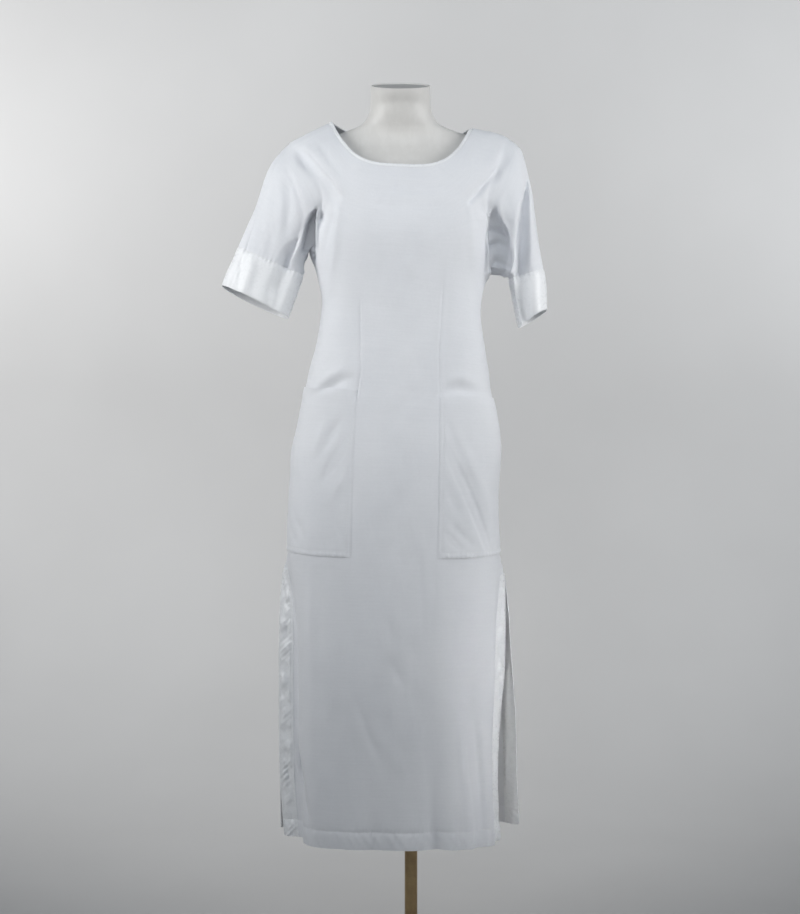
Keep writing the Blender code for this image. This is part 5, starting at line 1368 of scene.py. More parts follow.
def cloth_material(name, pale, shade, rough, sheen, weave_mm, knit, twill=False):
    m = Nodes(name)
    tc = m.add("ShaderNodeTexCoord")
    uv, obj = tc.outputs["UV"], tc.outputs["Object"]
    # soft patches of tone, a few centimetres across, and finer mottling
    big = m.noise(m.mapping(obj, (9, 9, 6)), 1.0, 2.0)
    tone = m.ramp(big, (0.35, shade), (0.65, pale))
    fine = m.noise(m.mapping(uv, (240, 240, 1)), 1.0, 4.0, 0.6)
    tone = m.mix(0.02 if twill else 0.06, tone,
                 m.ramp(fine, (0.3, (0.55, 0.56, 0.58)), (0.7, (0.9, 0.9, 0.9))))
    # courses of the knit: faint streaks that run along the rows
    streak = m.noise(m.mapping(uv, (14, 330, 1)), 1.0, 3.0, 0.65)
    tone = m.mix(0.03 * knit, tone, m.ramp(streak, (0.38, (0.5, 0.51, 0.53)), (0.62, (0.95, 0.95, 0.95))))
    m.link(tone, m.p.inputs["Base Color"])
    k = 314.0 / weave_mm
    rot = (0, 0, math.radians(32)) if twill else (0, 0, 0)
    wx = m.wave(m.mapping(uv, (1, 1, 1), rot), k / 1000 * 1000 / 1.0, "X")
    wy = m.wave(m.mapping(uv, (1, 1, 1), rot), k / 1000 * 1000 / 1.0, "Y")
    weave = m.math("MULTIPLY", wx, wy) if not twill else wx
    nrm = m.bump(weave, 0.10, 0.0003)
    nrm = m.bump(streak, 0.07 * knit, 0.0012, nrm)
    slub = m.noise(m.mapping(uv, (90, 150, 1)), 1.0, 5.0, 0.6)
    nrm = m.bump(slub, 0.03 if twill else 0.12, 0.0012, nrm)
    m.link(nrm, m.p.inputs["Normal"])
    m.rough(m.mix(0.5, fine, slub), rough - 0.07, rough + 0.07)
    m.set(Sheen_Weight=sheen, Sheen_Roughness=0.45, Specular_IOR_Level=0.35)
    m.p.inputs["Sheen Tint"].default_value = (0.95, 0.97, 1.0, 1)
    return m.mat


def thread_material():
    m = Nodes("thread")
    tc = m.add("ShaderNodeTexCoord")
    ply = m.wave(m.mapping(tc.outputs["Object"], (1, 1, 1), (0.6, 0.4, 0.3)), 420.0, "X")
    m.link(m.ramp(ply, (0.2, (0.70, 0.71, 0.72)), (0.8, (0.86, 0.87, 0.88))), m.p.inputs["Base Color"])
    m.link(m.bump(ply, 0.3, 0.0003), m.p.inputs["Normal"])
    m.rough(ply, 0.42, 0.55)
    m.set(Sheen_Weight=0.15, Specular_IOR_Level=0.5)
    return m.mat


def plastic_material(name, pale, shade, rough, coat):
    m = Nodes(name)
    tc = m.add("ShaderNodeTexCoord")
    obj = tc.outputs["Object"]
    big = m.noise(m.mapping(obj, (7, 7, 7)), 1.0, 3.0)
    scuff = m.noise(m.mapping(obj, (60, 60, 22)), 1.0, 6.0, 0.65)
    tone = m.ramp(big, (0.3, shade), (0.7, pale))
    tone = m.mix(0.06, tone, m.ramp(scuff, (0.45, (0.5, 0.49, 0.47)), (0.6, (0.95, 0.95, 0.94))))
    m.link(tone, m.p.inputs["Base Color"])
    m.rough(scuff, rough - 0.04, rough + 0.07)
    peel = m.noise(m.mapping(obj, (420, 420, 420)), 1.0, 2.0)
    m.link(m.bump(peel, 0.05, 0.0006, m.bump(big, 0.10, 0.004)), m.p.inputs["Normal"])
    m.set(Coat_Weight=coat, Coat_Roughness=0.12, Specular_IOR_Level=0.5)
    return m.mat


def metal_material(name, pale, dark, rough, turned=True):
    m = Nodes(name)
    tc = m.add("ShaderNodeTexCoord")
    obj = tc.outputs["Object"]
    brush = m.noise(m.mapping(obj, (30, 30, 900) if turned else (900, 900, 30)), 1.0, 4.0, 0.6)
    age = m.noise(m.mapping(obj, (22, 22, 14)), 1.0, 5.0, 0.6)
    tone = m.ramp(age, (0.35, dark), (0.62, pale))
    tone = m.mix(0.12, tone, m.ramp(brush, (0.4, dark), (0.6, pale)))
    m.link(tone, m.p.inputs["Base Color"])
    m.rough(m.mix(0.5, age, brush), rough - 0.1, rough + 0.12)
    m.link(m.bump(brush, 0.08, 0.0004), m.p.inputs["Normal"])
    m.set(Metallic=1.0)
    return m.mat


# ------------------------------------------------------------------ build
def main():
    for ob in list(bpy.data.objects):
        bpy.data.objects.remove(ob)
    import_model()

    jersey = cloth_material("white_jersey", (0.785, 0.80, 0.835), (0.745, 0.762, 0.80), 0.78, 0.22, 1.1, 1.0)
    satin = cloth_material("white_satin", (0.865, 0.88, 0.90), (0.83, 0.845, 0.868), 0.28, 0.08, 0.9, 0.2, True)
    thread = thread_material()
    plastic = plastic_material("form_plastic", (0.715, 0.705, 0.69), (0.67, 0.66, 0.64), 0.48, 0.10)
    # the neck cap is coloured a darker grey than the form: painted shade for the top of the neck
    cap = plastic_material("form_cap", (0.40, 0.40, 0.40), (0.30, 0.30, 0.30), 0.42, 0.1)
    brass = metal_material("aged_brass", (0.50, 0.37, 0.20), (0.30, 0.21, 0.12), 0.36)
    base_mat = metal_material("aged_brass_base", (0.47, 0.35, 0.20), (0.28, 0.20, 0.12), 0.40, False)

    skin, N, named = fine_skin()
    G = skin.grids
    s0, u = named["slit top"], named["underarm"]
    foot, mouth, hem = named["pocket foot"], named["pocket mouth"], named["hem stitch"]
    cb, cn, cd = C_BAND * SC, C_NECK * SC, C_DART * SC
    last = COLS * SC
    ns = N_SLEEVE * SS
    UV = {k: uv_of(G[k]) for k in G}
    made = {}

    # ---- the two panels with their half sleeves
    for tag, back in (("front", False), ("back", True)):
        other = "back" if tag == "front" else "front"
        keep = np.ones((G[tag].shape[0] - 1, last), bool)
        keep[:s0, :cb] = keep[:s0, last - cb:] = False
        out, inn = G[tag].copy(), G[tag] - N[tag] * THICK
        d = 0.05
        for col, nxt in ((0, 1), (-1, -2)):
            away = seam_dir(G[tag], G[other], col, nxt)
            for g in (out, inn):
                g[s0:u + 1, col] += away[s0:u + 1] * d
        patches = [(out, inn, UV[tag], back, keep)]
        for side, lr, col in ((-1, "left", 0), (1, "right", -1)):
            nm, om = tag + "_sleeve_" + lr, other + "_sleeve_" + lr
            k = ns + 1
            so, si = G[nm][:k].copy(), (G[nm] - N[nm] * THICK)[:k].copy()
            for c2, nxt in ((0, 1), (-1, -2)):
                away = seam_dir(G[nm], G[om], c2, nxt)[:k]
                so[:, c2] += away * d
                si[:, c2] += away * d
            so[0], si[0] = out[u:, col], inn[u:, col]
            patches.append((so, si, UV[nm][:k], (side > 0) != back, None))
        made["dress_" + tag] = shell("dress_" + tag, patches, jersey)

    # ---- cuffs: folded double, a little proud of the sleeve
    for side, lr in ((-1, "left"), (1, "right")):
        f, b = "front_sleeve_" + lr, "back_sleeve_" + lr
        sl = slice(ns, None)
        g = np.concatenate([G[f][sl], G[b][sl][:, -2::-1]], axis=1)
        n = np.concatenate([N[f][sl], N[b][sl][:, -2::-1]], axis=1)
        g, n = refine(g, 2, 1), unit(refine(n, 2, 1))
        around, down = arcs(g, 1), arcs(g, 0)
        length = down[-1:, :]
        v = down / length
        # edges rounded, the seam edge drawn in, the fold at the bottom a little thick
        puff = 0.55 + 0.5 * np.sin(np.clip(v, 0, 1) * math.pi) ** 0.5
        puff -= 0.8 * np.exp(-(down / 1.6) ** 2) + 0.8 * np.exp(-((length - down) / 1.3) ** 2)
        puff += 0.35 * np.exp(-(down / 9.0) ** 2) * PUCKER["cuff"](around + 40 * side + 3)
        g[:3] -= sleeve_axis_fine(G, lr) * np.array([1.5, 0.8, 0.2])[:, None, None]
        inner = 0.9 - 0.5 * np.exp(-((length - down) / 1.6) ** 2)
        made["cuff_" + lr] = shell("sleeve_cuff_" + lr, [(g + n * puff[..., None],
                                                         g - n * inner[..., None], uv_of(g), side > 0, None)],
                                   satin)

    # ---- bands along the slits, and the hems inside
    lines = {"hem": [], "band": [], "pocket": [], "cuff": [], "neck": [], "dart": []}
    for tag, back in (("front", False), ("back", True)):
        for side, lr in ((-1, "left"), (1, "right")):
            cs = slice(0, cb + 1) if side < 0 else slice(last - cb, None)
            g, n = refine(G[tag][:s0 + 1, cs], 3, 4), unit(refine(N[tag][:s0 + 1, cs], 3, 4))
            along, up = arcs(g, 1), arcs(g, 0)
            inner_d = (along[:, -1:] - along) if side < 0 else along      # from the inner edge
            outer_d = along if side < 0 else (along[:, -1:] - along)
            z = g[..., 2]
            r = 0.55 * np.sin(np.clip(inner_d / BAND_W, 0, 1) * math.pi) ** 0.6
            diag = PUCKER["band"](z + 0.9 * inner_d + 31 * side + (57 if back else 0))
            diag2 = PUCKER["band2"](z - 0.35 * inner_d + 17 * side + (23 if back else 0))
            body = np.sin(np.clip(inner_d / BAND_W, 0, 1) * math.pi) ** 0.7
            swell = 0.55 + 0.45 * np.sin(z / 23.0 + 1.3 * side + (2.0 if back else 0.0)) * np.sin(z / 61.0 + 2.0)
            r += 0.8 + 0.85 * swell * diag * body * (0.3 + 0.7 * (1 - np.exp(-(outer_d / 6.0) ** 2)))
            calm = 1 - np.exp(-(outer_d / 6.0) ** 2)
            r += 1.25 * CRUMPLE(inner_d * 1.0 + 200 * side, z + (400 if back else 0)) * body * calm
            r += 0.40 * diag2 * np.exp(-(inner_d / 9.0) ** 2)
            r = np.maximum(r, 0.0) * (1 - 0.8 * np.exp(-(inner_d / 2.0) ** 2))
            r -= 0.5 * np.exp(-((inner_d - 3.0) / 1.2) ** 2)
            r -= 0.6 * np.exp(-(outer_d / 1.2) ** 2)
            at = inner_d + 200 * side, z + (400 if back else 0)
            r += 2.4 * step(BUCKLE(*at), -0.6, 2.2) * body * calm
            # the turned side is as crumpled, in waves of its own
            q = 3.6 * step(BUCKLE(at[0] + 90, at[1] - 1.2 * inner_d), -0.8, 1.6)
            q = (q + 0.8 * step(CRUMPLE(at[0] + 60, at[1] + 70), -1.5, 1.5)) * body * calm
            o = g + n * (0.35 + r)[..., None]
            i = g - n * (THICK + 0.25 + q - 0.3 * np.exp(-(outer_d / 1.5) ** 2))[..., None]
            # the inner edge laps over the panel
            lap = unit(g[:, -1] - g[:, -2]) if side < 0 else unit(g[:, 0] - g[:, 1])
            e = -1 if side < 0 else 0
            o[:, e] += lap * 1.2
            i[:, e] += lap * 1.2
            i[:, e] = o[:, e] - n[:, e] * 0.35
            nm = "slit_band_%s_%s" % (tag, lr)
            made[nm] = shell("band_%s_%s" % (tag, lr), [(o, i, uv_of(g), back, None)], satin)
            ci = (g.shape[1] - 1 - 3) if side < 0 else 3
            lines["band"].append((o[3:, ci], n[3:, ci]))
            co = 4 if side < 0 else g.shape[1] - 5
            lines["band"].append((o[3:, co], n[3:, co]))
        cs = slice(cb, last - cb + 1)
        g, n = G[tag][:hem + 2, cs], N[tag][:hem + 2, cs]
        every = slice(0, len(g))
        o, i = g - n * (THICK + 0.5), g - n * (THICK + 1.3)
        o[0], i[0] = o[0] + [0, 0, 0.4], i[0] + [0, 0, 0.4]
        o, i = (draw_in(a, left=every, right=every, d=1.0) for a in (o, i))
        made["hem_turn_" + tag] = shell("hem_inside_" + tag, [(o, i, UV[tag][:hem + 2, cs], back, None)],
                                        jersey)
        lines["hem"].append((G[tag][hem, cs], N[tag][hem, cs]))

    # ---- patch pockets
    for side, lr in ((-1, "left"), (1, "right")):
        cs = slice(0, cd + 1) if side < 0 else slice(last - cd, None)
        g, n = refine(G["front"][foot:mouth + 1, cs], 2, 2), unit(refine(N["front"][foot:mouth + 1, cs], 2, 2))
        x, z = g[..., 0], g[..., 2]
        across, up = arcs(g, 1), arcs(g, 0)
        width, height = across[:, -1:], up[-1:, :]
        v, w = up / height, across / width
        d_in = (width - across) if side < 0 else across
        d_out = across if side < 0 else (width - across)
        d_foot, d_mouth = up, height - up
        # the foot rises a little towards the side seam
        g = g + np.array([0, 0, 1.0]) * (10.0 * np.clip(1 - d_out / width, 0, 1) ** 2
                                         * np.clip(1 - v, 0, 1) ** 4)[..., None]
        free = (1 - np.exp(-(d_in / 9.0) ** 2)) * (1 - np.exp(-(d_foot / 9.0) ** 2))
        free = free * (1 - np.exp(-(d_out / 7.0) ** 2))
        r = 0.5 + 1.6 * np.sin(np.pi * np.clip(w, 0, 1)) * np.sin(np.pi * np.clip(v * 0.8 + 0.1, 0, 1))
        r += 5.0 * step(v, 0.62, 1.0) * np.sin(np.pi * w) ** 1.2 * step(d_out, 14, 52)
        r -= creases(x, z, POCKET_CREASES) * free
        # the edges are stitched flat, with the puckers between two lines
        r += 0.25 * (1 - step(d_mouth, 14, 30))
        edge_d = np.minimum(np.minimum(d_in, d_foot), d_out + 2)
        run = np.where(d_foot < d_in, across, up)
        at_foot = np.exp(-(d_foot / 14.0) ** 2)
        r += (0.16 + 0.42 * at_foot) * np.exp(-((edge_d - 4.0) / 3.5) ** 2) * PUCKER["pocket"](run + 20 * side)
        r += (0.15 + 0.45 * at_foot) * np.exp(-((edge_d - 4.5) / 2.0) ** 2)
        r -= (0.22 + 0.30 * at_foot) * np.exp(-((edge_d - 8.0) / 1.5) ** 2)
        r -= 0.85 * np.exp(-(d_in / 2.4) ** 2) + 0.35 * np.exp(-(d_foot / 1.0) ** 2)
        r = r * (0.10 + 0.90 * step(d_out, 4.0, 34.0))
        # and lies flat towards its inner edge
        r = r * (0.25 + 0.75 * step(d_in, 0.0, 17.0)) - 0.12 * np.exp(-(d_in / 7.0) ** 2)
        r -= 0.22 * np.exp(-(d_in / 3.0) ** 2)
        r -= 0.25 * np.exp(-(d_out / 5.0) ** 2)
        o = g + n * (0.55 + r)[..., None]
        i = g + n * (0.55 + r - 0.9)[..., None]
        i_min = g + n * 0.08
        low_ = ((i - i_min) * n).sum(axis=-1) < 0
        i = np.where(low_[..., None], i_min, i)
        o = np.where((((o - i) * n).sum(axis=-1) < 0.35)[..., None], i + n * 0.35, o)
        every = slice(0, g.shape[0])
        made["pocket_" + lr] = shell("patch_pocket_" + lr, [(o, i, uv_of(g), False, None)], jersey)
        for dist in (2.0, 8.0):
            row = int(np.argmin(np.abs(up[:, up.shape[1] // 2] - dist)))
            col = int(np.argmin(np.abs(d_in[d_in.shape[0] // 2] - dist)))
            a = slice(2, col + 1) if side < 0 else slice(col, o.shape[1] - 2)
            lines["pocket"].append((o[row, a], n[row, a]))
            lines["pocket"].append((o[row:-2, col], n[row:-2, col]))

    # ---- neck binding: a soft roll round the whole neckline
    path = np.concatenate([G["front"][-1, cn:last - cn + 1], G["back"][-1, cn + 1:last - cn][::-1]])
    nn = np.concatenate([N["front"][-1, cn:last - cn + 1], N["back"][-1, cn + 1:last - cn][::-1]])
    path = np.concatenate([path, path[:1]])[:, None]
    nn = np.concatenate([nn, nn[:1]])[:, None]
    path, nn = refine(path, 3, 1)[:-1, 0], unit(refine(nn, 3, 1)[:-1, 0])
    # even steps along the loop, so that the roll has no knots
    ring_ = np.concatenate([path, path[:1]])
    s = np.concatenate([[0], np.cumsum(np.sqrt((np.diff(ring_, axis=0) ** 2).sum(axis=1)))])
    at = np.linspace(0, s[-1], int(s[-1] / 1.15) + 1)[:-1]
    nring = np.concatenate([nn, nn[:1]])
    path = np.stack([np.interp(at, s, ring_[:, k]) for k in range(3)], axis=-1)
    nn = unit(np.stack([np.interp(at, s, nring[:, k]) for k in range(3)], axis=-1))
    for k in range(60):
        nn = unit(nn * 2 + np.roll(nn, 1, axis=0) + np.roll(nn, -1, axis=0))
        if k < 14:
            path = (2 * path + np.roll(path, 1, axis=0) + np.roll(path, -1, axis=0)) / 4
    tan = np.roll(path, -3, axis=0) - np.roll(path, 3, axis=0)
    for _ in range(20):
        tan = 2 * tan + np.roll(tan, 1, axis=0) + np.roll(tan, -1, axis=0)
        tan = unit(tan)
    away = unit(np.cross(nn, tan))
    s = np.concatenate([[0], np.cumsum(np.sqrt((np.diff(path, axis=0) ** 2).sum(axis=1)))])
    wav = PUCKER["neck"](s) * np.clip(np.minimum(s, s[-1] - s) / 20.0, 0, 1)
    m, prof = len(path), 14
    V, F, U = [], [], []
    for k in range(prof):
        ph = 2 * math.pi * k / prof
        c, sn = math.cos(ph), math.sin(ph)
        a = BIND_W / 2 - 0.2 + (BIND_W / 2 + 0.35) * math.copysign(abs(c) ** 0.75, c)
        h = 0.5 * (BIND_T - WALL) - BIND_T / 2 + BIND_T / 2 * math.copysign(abs(sn) ** 0.8, sn)
        swell = 1 + 0.10 * wav * (1 if sn > 0 else 0)
        V.append(path + away * a + nn * (h * swell)[:, None] + nn * 0.2)
    V = np.concatenate(V)
    for k in range(prof):
        k2 = (k + 1) % prof
        for j in range(m):
            j2 = (j + 1) % m
            F.append((k * m + j, k2 * m + j, k2 * m + j2, k * m + j2))
            u0, u1 = s[j] * MM, (s[j] + 2.5) * MM
            U += [(u0, k * 0.001), (u0, (k + 1) * 0.001), (u1, (k + 1) * 0.001), (u1, k * 0.001)]
    made["neck_binding"] = make_mesh("neck_roll", V, F, U, satin, True, 80.0)
    off = np.roll(np.arange(m), 0)
    lines["neck"].append((path - away * 1.4 + nn * 0.1, nn))

    # ---- stitches
    for lr, col, z0, z1 in (("left", cd, 984, 1156), ("right", last - cd, 984, 1176)):
        zz = G["front"][:, col, 2]
        sel = (zz > z0) & (zz < z1)
        lines["dart"].append((G["front"][sel, col], N["front"][sel, col]))
    for lr in ("left", "right"):
        for tag in ("front", "back"):
            nm = tag + "_sleeve_" + lr
            lines["cuff"].append((G[nm][ns - 1], N[nm][ns - 1]))
    sewn = {}
    for kind, pitch in (("hem", 3.4), ("band", 3.2), ("pocket", 3.2), ("cuff", 3.0), ("neck", 2.8),
                        ("dart", 3.0)):
        high = 0.4 if kind != "dart" else 0.25
        sewn[kind] = stitches("stitches_" + kind, lines[kind], thread, pitch, 2.2, 0.5, high,
                              0.1 if kind != "dart" else -0.15)

    # ---- the dress form and its stand
    build_form(made, plastic, cap)
    build_stand(made, brass, base_mat)

    # ---- every new piece and the stitches go on the root body; the CAD nodes that the pieces replace are hidden
    swaps = {"dress_front": ("front", "jersey"), "dress_back": ("back", "jersey"),
             "cuff_left": ("cuff_left", "satin"), "cuff_right": ("cuff_right", "satin"),
             "hem_turn_front": ("hem_turn_front", "jersey"), "hem_turn_back": ("hem_turn_back", "jersey"),
             "pocket_left": ("pocket_left", "jersey"), "pocket_right": ("pocket_right", "jersey"),
             "neck_binding": ("neck_binding", "satin"), "form_torso": ("form_torso", "form_white"),
             "form_neck_cap": ("form_neck_cap", "form_cap"), "pole": ("pole", "brass"),
             "pole_collar": ("pole_collar", "brass"), "base_collar": ("base_collar", "brass"),
             "base_plate": ("base_plate", "brass")}
    for tag in ("front", "back"):
        for lr in ("left", "right"):
            nm = "slit_band_%s_%s" % (tag, lr)
            swaps[nm] = (nm, "satin")
    for key, ob in made.items():
        node, slot_name = swaps[key]
        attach(ob, "root")
        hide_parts(node)
    for kind, ob in sewn.items():
        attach(ob, "root")

    # print the area of one side of each piece listed in CUTS, and twice its face count
    for key, ob in made.items():
        if key in CUTS:
            a = sum(p.area for p in ob.data.polygons) / 2
            print("AREA", key, round(a, 5), len(ob.data.polygons) * 2)
    light_and_camera()


def sleeve_axis_fine(grids, lr):
    g = [grids[tag + "_sleeve_" + lr] for tag in ("front", "back")]
    return unit(sum(a[-1].mean(axis=0) - a[N_SLEEVE * SS].mean(axis=0) for a in g))


# width, length, area (m), how it is held, what it rests on, what is sewn on it
CUTS = {
    "dress_front": (0.66, 1.21, 0.545, "draped", ["form_torso"], ["dart"]),
    "dress_back": (0.66, 1.24, 0.555, "draped", ["form_torso"], []),
    "cuff_left": (0.30, 0.076, 0.0222, "hung", ["dress_front", "dress_back"], []),
    "cuff_right": (0.22, 0.076, 0.0166, "hung", ["dress_front", "dress_back"], ["cuff"]),
    "slit_band_front_left": (0.028, 0.447, 0.0125, "hung", ["dress_front"], []),
    "slit_band_front_right": (0.028, 0.437, 0.0122, "hung", ["dress_front"], []),
    "slit_band_back_left": (0.028, 0.447, 0.0125, "hung", ["dress_back"], []),
    "slit_band_back_right": (0.028, 0.437, 0.0122, "hung", ["dress_back"], ["band"]),
    "hem_turn_front": (0.44, 0.029, 0.0127, "folded", ["dress_front"], ["hem"]),
    "hem_turn_back": (0.44, 0.029, 0.0127, "folded", ["dress_back"], []),
    "pocket_left": (0.18, 0.276, 0.0485, "hung", ["dress_front"], []),
    "pocket_right": (0.18, 0.264, 0.0465, "hung", ["dress_front"], ["pocket"]),
    "neck_binding": (0.72, 0.010, 0.0052, "stretched", ["dress_front", "dress_back"], ["neck"]),
}

FORM = table("z cx a cy bf bb n",
             (742, -22, 146, 8, 84, 88, 2.3), (750, -22, 152, 8, 90, 94, 2.35),
             (800, -22, 159, 8, 96, 103, 2.4), (850, -22, 163, 7, 101, 108, 2.4),
             (900, -21, 161, 5, 102, 103, 2.4), (950, -20, 151, 3, 99, 95, 2.35),
             (1010, -18, 134, 1, 93, 83, 2.3), (1070, -17, 120, 0, 88, 76, 2.3),
             (1120, -17, 118, 0, 90, 78, 2.3), (1170, -17, 122, 0, 98, 85, 2.4),
             (1230, -17, 127, 0, 110, 92, 2.4), (1268, -17, 128, 1, 112, 94, 2.4),
             (1310, -17, 134, 2, 101, 92, 2.5), (1350, -17, 154, 4, 85, 85, 2.5),
             (1378, -17, 175, 5, 71, 77, 2.35), (1396, -17, 184, 6, 60, 66, 2.2),
             (1410, -17, 177, 6, 50, 53, 2.1), (1422, -17, 150, 6, 45, 46, 2.1),
             (1431, -17, 118, 5, 43, 44, 2.1), (1439, -17, 92, 3, 43, 45, 2.1),
             (1449, -17.3, 68, 0, 45, 48, 2.1), (1462, -17.6, 56, -4, 47, 49, 2.05),
             (1480, -17.8, 51, -9, 48, 49, 2.0), (1513, -17.8, 50, -20, 49, 49, 2.0))


def form_ring(z, shrink=0.0, drop=0.0, seg=168):
    f = {c: float(look(FORM, c, z)) for c in FORM if c != "z"}
    th = 2 * math.pi * np.arange(seg) / seg
    c, s = np.cos(th), np.sin(th)
    e = 2 / f["n"]
    x = f["cx"] + (f["a"] - shrink) * np.sign(c) * np.abs(c) ** e
    b = np.where(s < 0, f["bf"], f["bb"]) - shrink
    y = f["cy"] + b * np.sign(s) * np.abs(s) ** e
    rise = math.tan(math.radians(17.5))
    return np.stack([x, y, z - drop + float(step(z, 1470, 1513)) * rise * (y - f["cy"])], axis=-1)


def lathe_rings(name, rings, mat, angle=40.0):
    """Closed skin through rings of points, with a fan over each end."""
    m = len(rings[0])
    V = np.concatenate(rings + [rings[0].mean(axis=0)[None], rings[-1].mean(axis=0)[None]])
    F, U = [], []
    lo_c, hi_c = len(V) - 2, len(V) - 1
    for r in range(len(rings) - 1):
        for k in range(m):
            k2 = (k + 1) % m
            F.append((r * m + k, r * m + k2, (r + 1) * m + k2, (r + 1) * m + k))
            U += [(k / m, r / 100), ((k + 1) / m, r / 100), ((k + 1) / m, (r + 1) / 100),
                  (k / m, (r + 1) / 100)]
    for k in range(m):
        k2 = (k + 1) % m
        F.append((k2, k, lo_c))
        F.append(((len(rings) - 1) * m + k, (len(rings) - 1) * m + k2, hi_c))
        U += [(0, 0), (0.01, 0), (0, 0.01)] * 2
    return make_mesh(name, V, F, U, mat, True, angle)


def build_form(made, plastic, cap):
    zs = np.unique(np.round(np.concatenate([
        [742, 743, 745, 748], np.arange(752, 1360, 8.0), np.arange(1360, 1470, 2.5),
        np.arange(1470, 1509, 3.0)]), 2))
    rings = [form_ring(742, 5.0, -0.0), form_ring(742, 2.0)]
    rings += [form_ring(z) for z in zs]
    # a small rounded rim at the top of the neck, then down to the cap's seat
    for z, shrink, drop in ((1511, 0, 0), (1513, 0.15, 0.35), (1513, 0.6, 0.0), (1513, 1.3, -0.05),
                            (1513, 2.2, 0.0), (1513, 2.8, 0.4), (1513, 3.1, 1.2), (1513, 3.3, 5.0)):
        rings.append(form_ring(z, shrink, drop))
    made["form_torso"] = lathe_rings("form_body", rings, plastic, 35.0)
    # the cap disc takes the darker grey material, painted shade on the top of the neck
    caps = [form_ring(1513, s, d) for s, d in ((4.4, 4.7), (3.8, 4.3), (3.7, 2.4), (4.1, 1.8), (5.0, 1.5),
                                              (9.0, 1.35), (20.0, 1.2), (34.0, 1.1))]
    made["form_neck_cap"] = lathe_rings("form_cap_disc", caps, cap, 35.0)


def turned(name, profile, mat, seg=96, angle=35.0):
    """A closed turned piece; the profile starts and ends where it should be capped."""
    th = 2 * math.pi * np.arange(seg) / seg
    rings = [np.stack([r * np.cos(th), r * np.sin(th), np.full(seg, float(z))], axis=-1)
             for r, z in profile]
    m = seg
    V = np.concatenate(rings)
    F = []
    closed = profile[0] == profile[-1]
    cnt = len(rings) - 1 if closed else len(rings)
    if closed:
        V = np.concatenate(rings[:-1])
    for r in range(len(rings) - 1):
        a, b = r, (r + 1) % cnt if closed else r + 1
        for k in range(m):
            k2 = (k + 1) % m
            F.append((a * m + k, a * m + k2, b * m + k2, b * m + k))
    if not closed:
        F.append(tuple(reversed(range(m))))
        F.append(tuple((cnt - 1) * m + k for k in range(m)))
    return make_mesh(name, V, F, None, mat, True, angle)


def build_stand(made, brass, base_mat):
    made["pole"] = turned("stand_pole", [(8, BASE_H + GAP), (POLE_R - 0.8, BASE_H + GAP),
                                         (POLE_R, BASE_H + 1.1), (POLE_R, 100), (POLE_R, 400),
                                         (POLE_R, 740.8), (POLE_R - 0.8, 741.6), (8, 741.6)], brass)
    r0 = POLE_R + 0.25
    made["pole_collar"] = turned("stand_top_collar", [
        (r0, 700), (15.2, 700), (15.5, 700.4), (15.6, 706), (17, 712), (20, 714.2), (24, 716), (26.6, 718.4),
        (28, 722), (28.1, 731), (28, 739.6), (27.4, 741), (26, 741.6), (r0, 741.6), (r0, 700)], brass)
    made["base_collar"] = turned("stand_low_collar", [
        (r0, BASE_H + GAP), (29.6, BASE_H + GAP), (30, BASE_H + 0.8), (30, 14.6), (29.5, 15.2), (25, 16.4),
        (21, 18), (18, 20.6), (16.5, 24), (16.3, 31), (16, 38), (15.4, 39.4), (14, 40), (r0, 40),
        (r0, BASE_H + GAP)], brass)
    made["base_plate"] = turned("stand_base", [
        (BASE_R - 1, 0), (BASE_R - 0.3, 0.3), (BASE_R, 1.0), (BASE_R, 3.0), (BASE_R - 0.4, 4.0),
        (BASE_R - 1.5, 4.6), (BASE_R - 6, 6.2), (BASE_R - 20, 8.3), (120, 10.5), (90, 12.2), (60, 13.0),
        (20, BASE_H)], base_mat, 144)


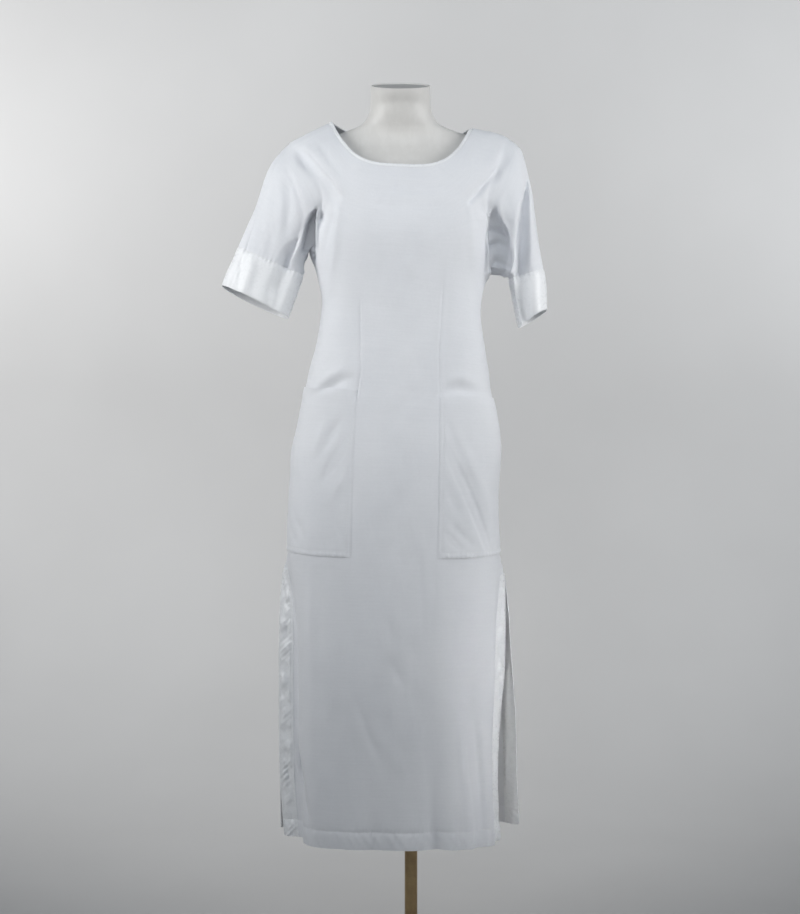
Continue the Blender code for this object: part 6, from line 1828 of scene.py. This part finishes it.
# ------------------------------------------------------------------ stage, light, camera
def light_and_camera():
    # pale floor that sweeps up into the wall behind
    ys = list(np.linspace(-4.0, 1.05, 12))
    prof = [(y, 0.0) for y in ys]
    R = 1.1
    for a in np.linspace(0, math.pi / 2, 28)[1:]:
        prof.append((1.05 + R * math.sin(a), R * (1 - math.cos(a))))
    for z in np.linspace(R, 5.2, 9)[1:]:
        prof.append((1.05 + R, z))
    xs = np.linspace(-6, 6, 25)
    V = np.array([(x, y, z) for y, z in prof for x in xs]) / MM
    n = len(xs)
    F = [(r * n + k, r * n + k + 1, (r + 1) * n + k + 1, (r + 1) * n + k)
         for r in range(len(prof) - 1) for k in range(n - 1)]
    m = Nodes("studio_floor")
    tc = m.add("ShaderNodeTexCoord")
    soft = m.noise(m.mapping(tc.outputs["Object"], (1.3, 1.3, 1.3)), 1.0, 3.0)
    m.link(m.ramp(soft, (0.3, (0.52, 0.515, 0.51)), (0.7, (0.56, 0.555, 0.55))), m.p.inputs["Base Color"])
    m.set(Roughness=0.9, Specular_IOR_Level=0.2)
    floor = make_mesh("studio_sweep", V, F, None, m.mat, True, 60.0)

    world = bpy.data.worlds.new("studio")
    world.use_nodes = True
    bg = world.node_tree.nodes["Background"]
    bg.inputs["Color"].default_value = (0.85, 0.925, 1.0, 1)
    bg.inputs["Strength"].default_value = 0.22
    bpy.context.scene.world = world

    def area(name, at, aim, w, h, power, colour, spread):
        li = bpy.data.lights.new(name, "AREA")
        li.shape = "RECTANGLE"
        li.size, li.size_y = w, h
        li.energy = power
        li.color = colour
        li.spread = math.radians(spread)
        ob = bpy.data.objects.new(name, li)
        bpy.context.scene.collection.objects.link(ob)
        ob.location = at
        ob.rotation_euler = (Vector(aim) - Vector(at)).to_track_quat("-Z", "Y").to_euler()
        return ob
    area("soft_left", (-1.25, -0.68, 1.48), (0, 0, 1.24), 0.8, 1.0, 6.1, (1.0, 0.995, 0.98), 120)
    area("soft_right", (1.25, -0.62, 1.35), (0, 0, 1.18), 0.8, 1.0, 5.8, (1.0, 0.995, 0.98), 120)
    area("soft_front", (-0.25, -2.7, 1.75), (0, 0, 1.36), 0.9, 0.6, 0.60, (1.0, 0.995, 0.985), 40)
    area("soft_top", (0.0, -1.2, 2.9), (0, 0, 1.3), 1.2, 0.8, 2.0, (0.85, 0.93, 1.0), 120)
    area("slit_glow", (0.44, -1.7, 0.55), (0.215, 0.04, 0.46), 0.12, 0.45, 0.14, (1.0, 0.98, 0.95), 16)
    area("wall_left", (-1.9, 0.9, 1.85), (-0.8, 2.2, 1.55), 0.8, 1.2, 20, (1, 1, 1), 150)
    area("wall_right", (1.9, 0.9, 1.85), (0.9, 2.2, 1.55), 0.8, 1.2, 13, (0.96, 0.98, 1.0), 140)
    area("wall_top", (0.0, 0.7, 3.2), (0, 2.2, 2.0), 1.6, 0.6, 12, (0.96, 0.98, 1.0), 150)

    cam = bpy.data.cameras.new("camera")
    cam.lens = 36.0 * 1676 / 914
    cam.sensor_width = 36.0
    ob = bpy.data.objects.new("camera", cam)
    bpy.context.scene.collection.objects.link(ob)
    ob.location = (-0.0187, -2.85, 0.886)
    ob.rotation_euler = (math.pi / 2, 0, 0)
    bpy.context.scene.camera = ob
    vs = bpy.context.scene.view_settings
    vs.view_transform = "Standard"
    vs.look = "None"
    vs.exposure = 0.0


main()
